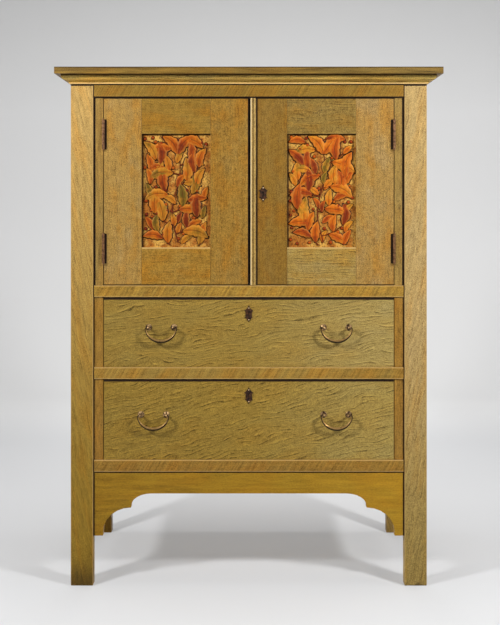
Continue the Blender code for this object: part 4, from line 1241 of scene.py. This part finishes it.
leafShapes = [leafMesh(f"leaf {index}", bend) for index, bend in enumerate(spray["bends"])] + [berryMesh()]


def inPanel(point, margin):
    return abs(point.x) < spray["halfWidth"] - margin and abs(point.y) < spray["halfHeight"] - margin


def stemPoint(height):
    reach, rate = spray["sway"]
    return Vector((reach * math.sin(height * rate), height))


def leafTip(leaf, share=1.0):
    spot, angle, size = leaf
    bend = math.radians(angle)
    return spot + Vector((math.sin(bend), math.cos(bend))) * spray["leafLength"] * size * share


def layOutSpray(draws):
    foot, steps, margin = spray["stemFoot"], spray["sprigSteps"], spray["margin"]
    stems = [[stemPoint(foot + spray["stemStep"] * step) for step in range(spray["stemPoints"])]]
    top, leans = spray["stemTop"]
    leaves = [(stemPoint(top), angle, 1.0) for angle in leans]
    for sign, late in ((-1, 0.0), (1, 0.5)):
        for level in range(-1, spray["levels"]):
            root = stemPoint(foot + spray["step"] * (level + late) + draws.uniform(-0.006, 0.006))
            reach = spray["reach"] * draws.uniform(0.85, 1.2)
            climb = spray["climb"] * draws.uniform(0.6, 1.3)
            sprig = []
            for step in range(steps + 1):
                t = step / steps
                sprig.append(root + Vector((sign * reach * t ** 0.9, climb * t ** 1.6)))
            stems.append(sprig)
            for share, lean in spray["leaves"]:
                index = round(steps * share)
                ahead = sprig[index] - sprig[index - 1]
                angle = math.degrees(math.atan2(ahead.x, ahead.y)) + sign * lean + draws.uniform(-10, 10)
                leaves.append((sprig[index], angle, draws.uniform(0.72, 1.12)))
    leaves = [leaf for leaf in leaves if inPanel(leaf[0], margin) and inPanel(leafTip(leaf), 0.0)]
    berries = []
    leafTrials, allTrials = spray["trials"]
    leafBare, berryBare = spray["bare"]
    for trial in range(allTrials):
        spot = Vector((draws.uniform(-1, 1) * spray["halfWidth"], draws.uniform(-1, 1) * spray["halfHeight"]))
        size = draws.uniform(0.5, 0.72)
        leaf = (spot, math.copysign(draws.uniform(10, 75), spot.x), size)
        middle = leafTip(leaf, 0.5)
        bare = min((leafTip(other, share) - middle).length for other in leaves for share in (0.25, 0.5, 0.75))
        if trial < leafTrials:
            if bare > leafBare and inPanel(spot, 0.006) and inPanel(leafTip(leaf), margin):
                leaves.append(leaf)
        elif bare > berryBare and inPanel(middle, 0.007):
            if all((middle - other).length > spray["berriesApart"] for other, girth in berries):
                berries.append((middle, draws.uniform(0.7, 1.05)))
    return stems, leaves, berries


for hand in ("left", "right"):
    node = hand + "_door_panel"
    low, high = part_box(node)
    leafTint = tintFinish(hand)
    groundMesh = tooledGround(hand + " ground", low, high)
    ground = addPiece(hand + "_panel_ground", groundMesh, groundFinish(hand, low, high))
    place(ground, hand + "_door", "panel_paint", node)
    centre = (low + high) / 2
    draws = random.Random(hand)
    stems, leaves, berries = layOutSpray(draws)
    spots = []
    for spot, angle, size in leaves:
        pick = draws.choice((0, 1)) if angle < 0 else draws.choice((2, 3))
        put = (centre.x + spot.x, low.y - draws.uniform(0.0, 0.0014), centre.z + spot.y)
        spots.append((put, (0, math.radians(angle), 0), size, pick, draws.choice(spray["tints"])))
    for spot, size in berries:
        put = (centre.x + spot.x, low.y - 0.0004, centre.z + spot.y)
        spots.append((put, (0, 0, 0), size, len(spray["bends"]), draws.choice((0.0, 0.1, 0.3))))
    place(setOut(hand + "_panel_leaves", leafShapes, spots, leafTint), hand + "_door", "panel_paint")
    points, edges, thick = [], [], []
    for stem in stems:
        run = [point for point in stem if inPanel(point, spray["margin"])]
        for index, point in enumerate(run):
            if index:
                edges.append((len(points) - 1, len(points)))
            points.append((centre.x + point.x, low.y - 0.0008, centre.z + point.y))
            thick.append(1.0 - 0.5 * index / len(run))
    line = pathMesh("stem path", points, edges, thick)
    values = {"Thickness": spray["stem"], "Sides": 10, "Finish": leafTint}
    place(runTree(hand + "_panel_stems", line, rodTree, values), hand + "_door", "panel_paint")
print("panels made")


# floor, light and camera
studio = {
    "paper": (  # tones from the floor up the backdrop, with painted shade: darker towards the top, where less light reaches
        (0.0, tone(178, 179, 181)),
        (0.12, tone(218, 218, 218)),
        (0.30, tone(218, 218, 218)),
        (0.62, tone(211, 211, 211)),
        (0.78, tone(195, 195, 195)),
        (1.0, tone(164, 164, 164)),
    ),
    "paperTop": 2.6,
    "lean": 0.045,  # painted light: how much lighter the paper gets to the right, to the metre
    "glow": 0.20,  # what the paper adds where it is seen, so that it stays pale
    "skyFrom": (-2.0, -7.0),  # where it passes into the sky, behind the camera
    "pale": (1.25, 2.3, 0.36),  # where the floor pales towards the backdrop, and to which height's tone
    "world": 0.08,
    "sky": 0.6,  # the world where it is seen past the paper
    "reach": 7.0,
    "frontY": -9.0,
    "wallY": 1.9,
    "cove": 1.2,
    "softboxes": {  # place, aim, width, height, watts
        "left": ((-1.75, -1.4, 1.9), (0, -0.2, 0.7), 0.26, 0.26, 45.5),
        "right": ((1.75, -1.4, 1.9), (0, -0.2, 0.7), 0.26, 0.26, 49.6),
        "front": ((0.0, -4.6, 2.4), (0, -0.1, 0.8), 2.4, 1.6, 8.0),
        "overhead": ((0.0, 0.1, 4.4), (0, 0.1, 0.0), 4.0, 1.2, 100.0),
        "rear": ((0.0, 2.0, 0.85), (0, 0.2, 0.5), 0.9, 0.7, 13.0),
    },
}


def studioFloor():
    wall, cove, reach = studio["wallY"], studio["cove"], studio["reach"]
    profile = [(studio["frontY"], 0.0)]
    for step in range(13):
        bend = math.radians(-90 + 90 * step / 12)
        profile.append((wall + cove * math.cos(bend), cove + cove * math.sin(bend)))
    profile.append((wall + cove, reach))
    bm = bmesh.new()
    fillRows(bm, [[bm.verts.new((x, y, z)) for x in (-reach, reach)] for y, z in profile])
    finish = Finish("studio paper")
    x, y, z = finish.place()
    start, end, most = studio["pale"]
    rise = finish.most(z, finish.step(y, start, end) * most)
    height = finish.node("ShaderNodeMapRange", {}, {"Value": rise, "From Max": studio["paperTop"]})
    colour = finish.node("ShaderNodeValToRGB", {"stops": studio["paper"]}, {0: height})
    colour = finish.shade(colour, 1 + x * studio["lean"])
    near, far = [(studio[name], studio[name], studio[name], 1) for name in ("glow", "sky")]
    glow = finish.blend(finish.step(y, *studio["skyFrom"]), near, far)
    glow = finish.blend(finish.seen(), (0, 0, 0, 1), glow)
    sockets = {"Base Color": colour, "Roughness": 0.9, "Emission Color": glow, "Emission Strength": 1.0}
    return addPiece("studio_floor", fromBmesh("studio floor", bm), finish.surface(sockets))


studioFloor()


def softbox(name, spot, aim, width, height, power):
    lamp = bpy.data.lights.new(name, "AREA")
    lamp.shape = "RECTANGLE"
    lamp.size = width
    lamp.size_y = height
    lamp.energy = power
    light = addPiece(name, lamp)
    light.location = spot
    light.rotation_euler = (Vector(aim) - Vector(spot)).to_track_quat("-Z", "Y").to_euler()
    light.visible_camera = False


for side, setting in studio["softboxes"].items():
    softbox(side + " softbox", *setting)
world = bpy.data.worlds.new("studio")
scene.world = world
world.use_nodes = True
sky = Graph(world.node_tree)
background = world.node_tree.nodes["Background"]
sky.feed(background.inputs["Color"], (1, 1, 1, 1))
sky.feed(background.inputs["Strength"], sky.seen() * (studio["sky"] - studio["world"]) + studio["world"])

view = {
    "postFront": -0.1975,
    "distance": 2.50,  # from the posts' front
    "height": 1.02,
    "pixelsPerMetre": 371.0,
    "imageHeight": 625.0,
    "footLine": 585.7,  # where the front feet meet the floor in the picture
    "middle": 1.2,  # pixels that the press stands left of the picture's middle
}
metre = view["pixelsPerMetre"]
tall = view["imageHeight"]
camera = bpy.data.cameras.new("camera")
camera.sensor_width = 36.0
camera.lens = metre * view["distance"] * camera.sensor_width / tall
camera.shift_y = (view["footLine"] - tall / 2 - metre * view["height"]) / tall
camera.clip_end = 50
lookout = addPiece("camera", camera)
lookout.location = (view["middle"] / metre, view["postFront"] - view["distance"], view["height"])
lookout.rotation_euler = (math.radians(90), 0, 0)
scene.camera = lookout
scene.view_settings.view_transform = "Standard"
print("camera lens", round(camera.lens, 1), "shift", round(camera.shift_y, 3))
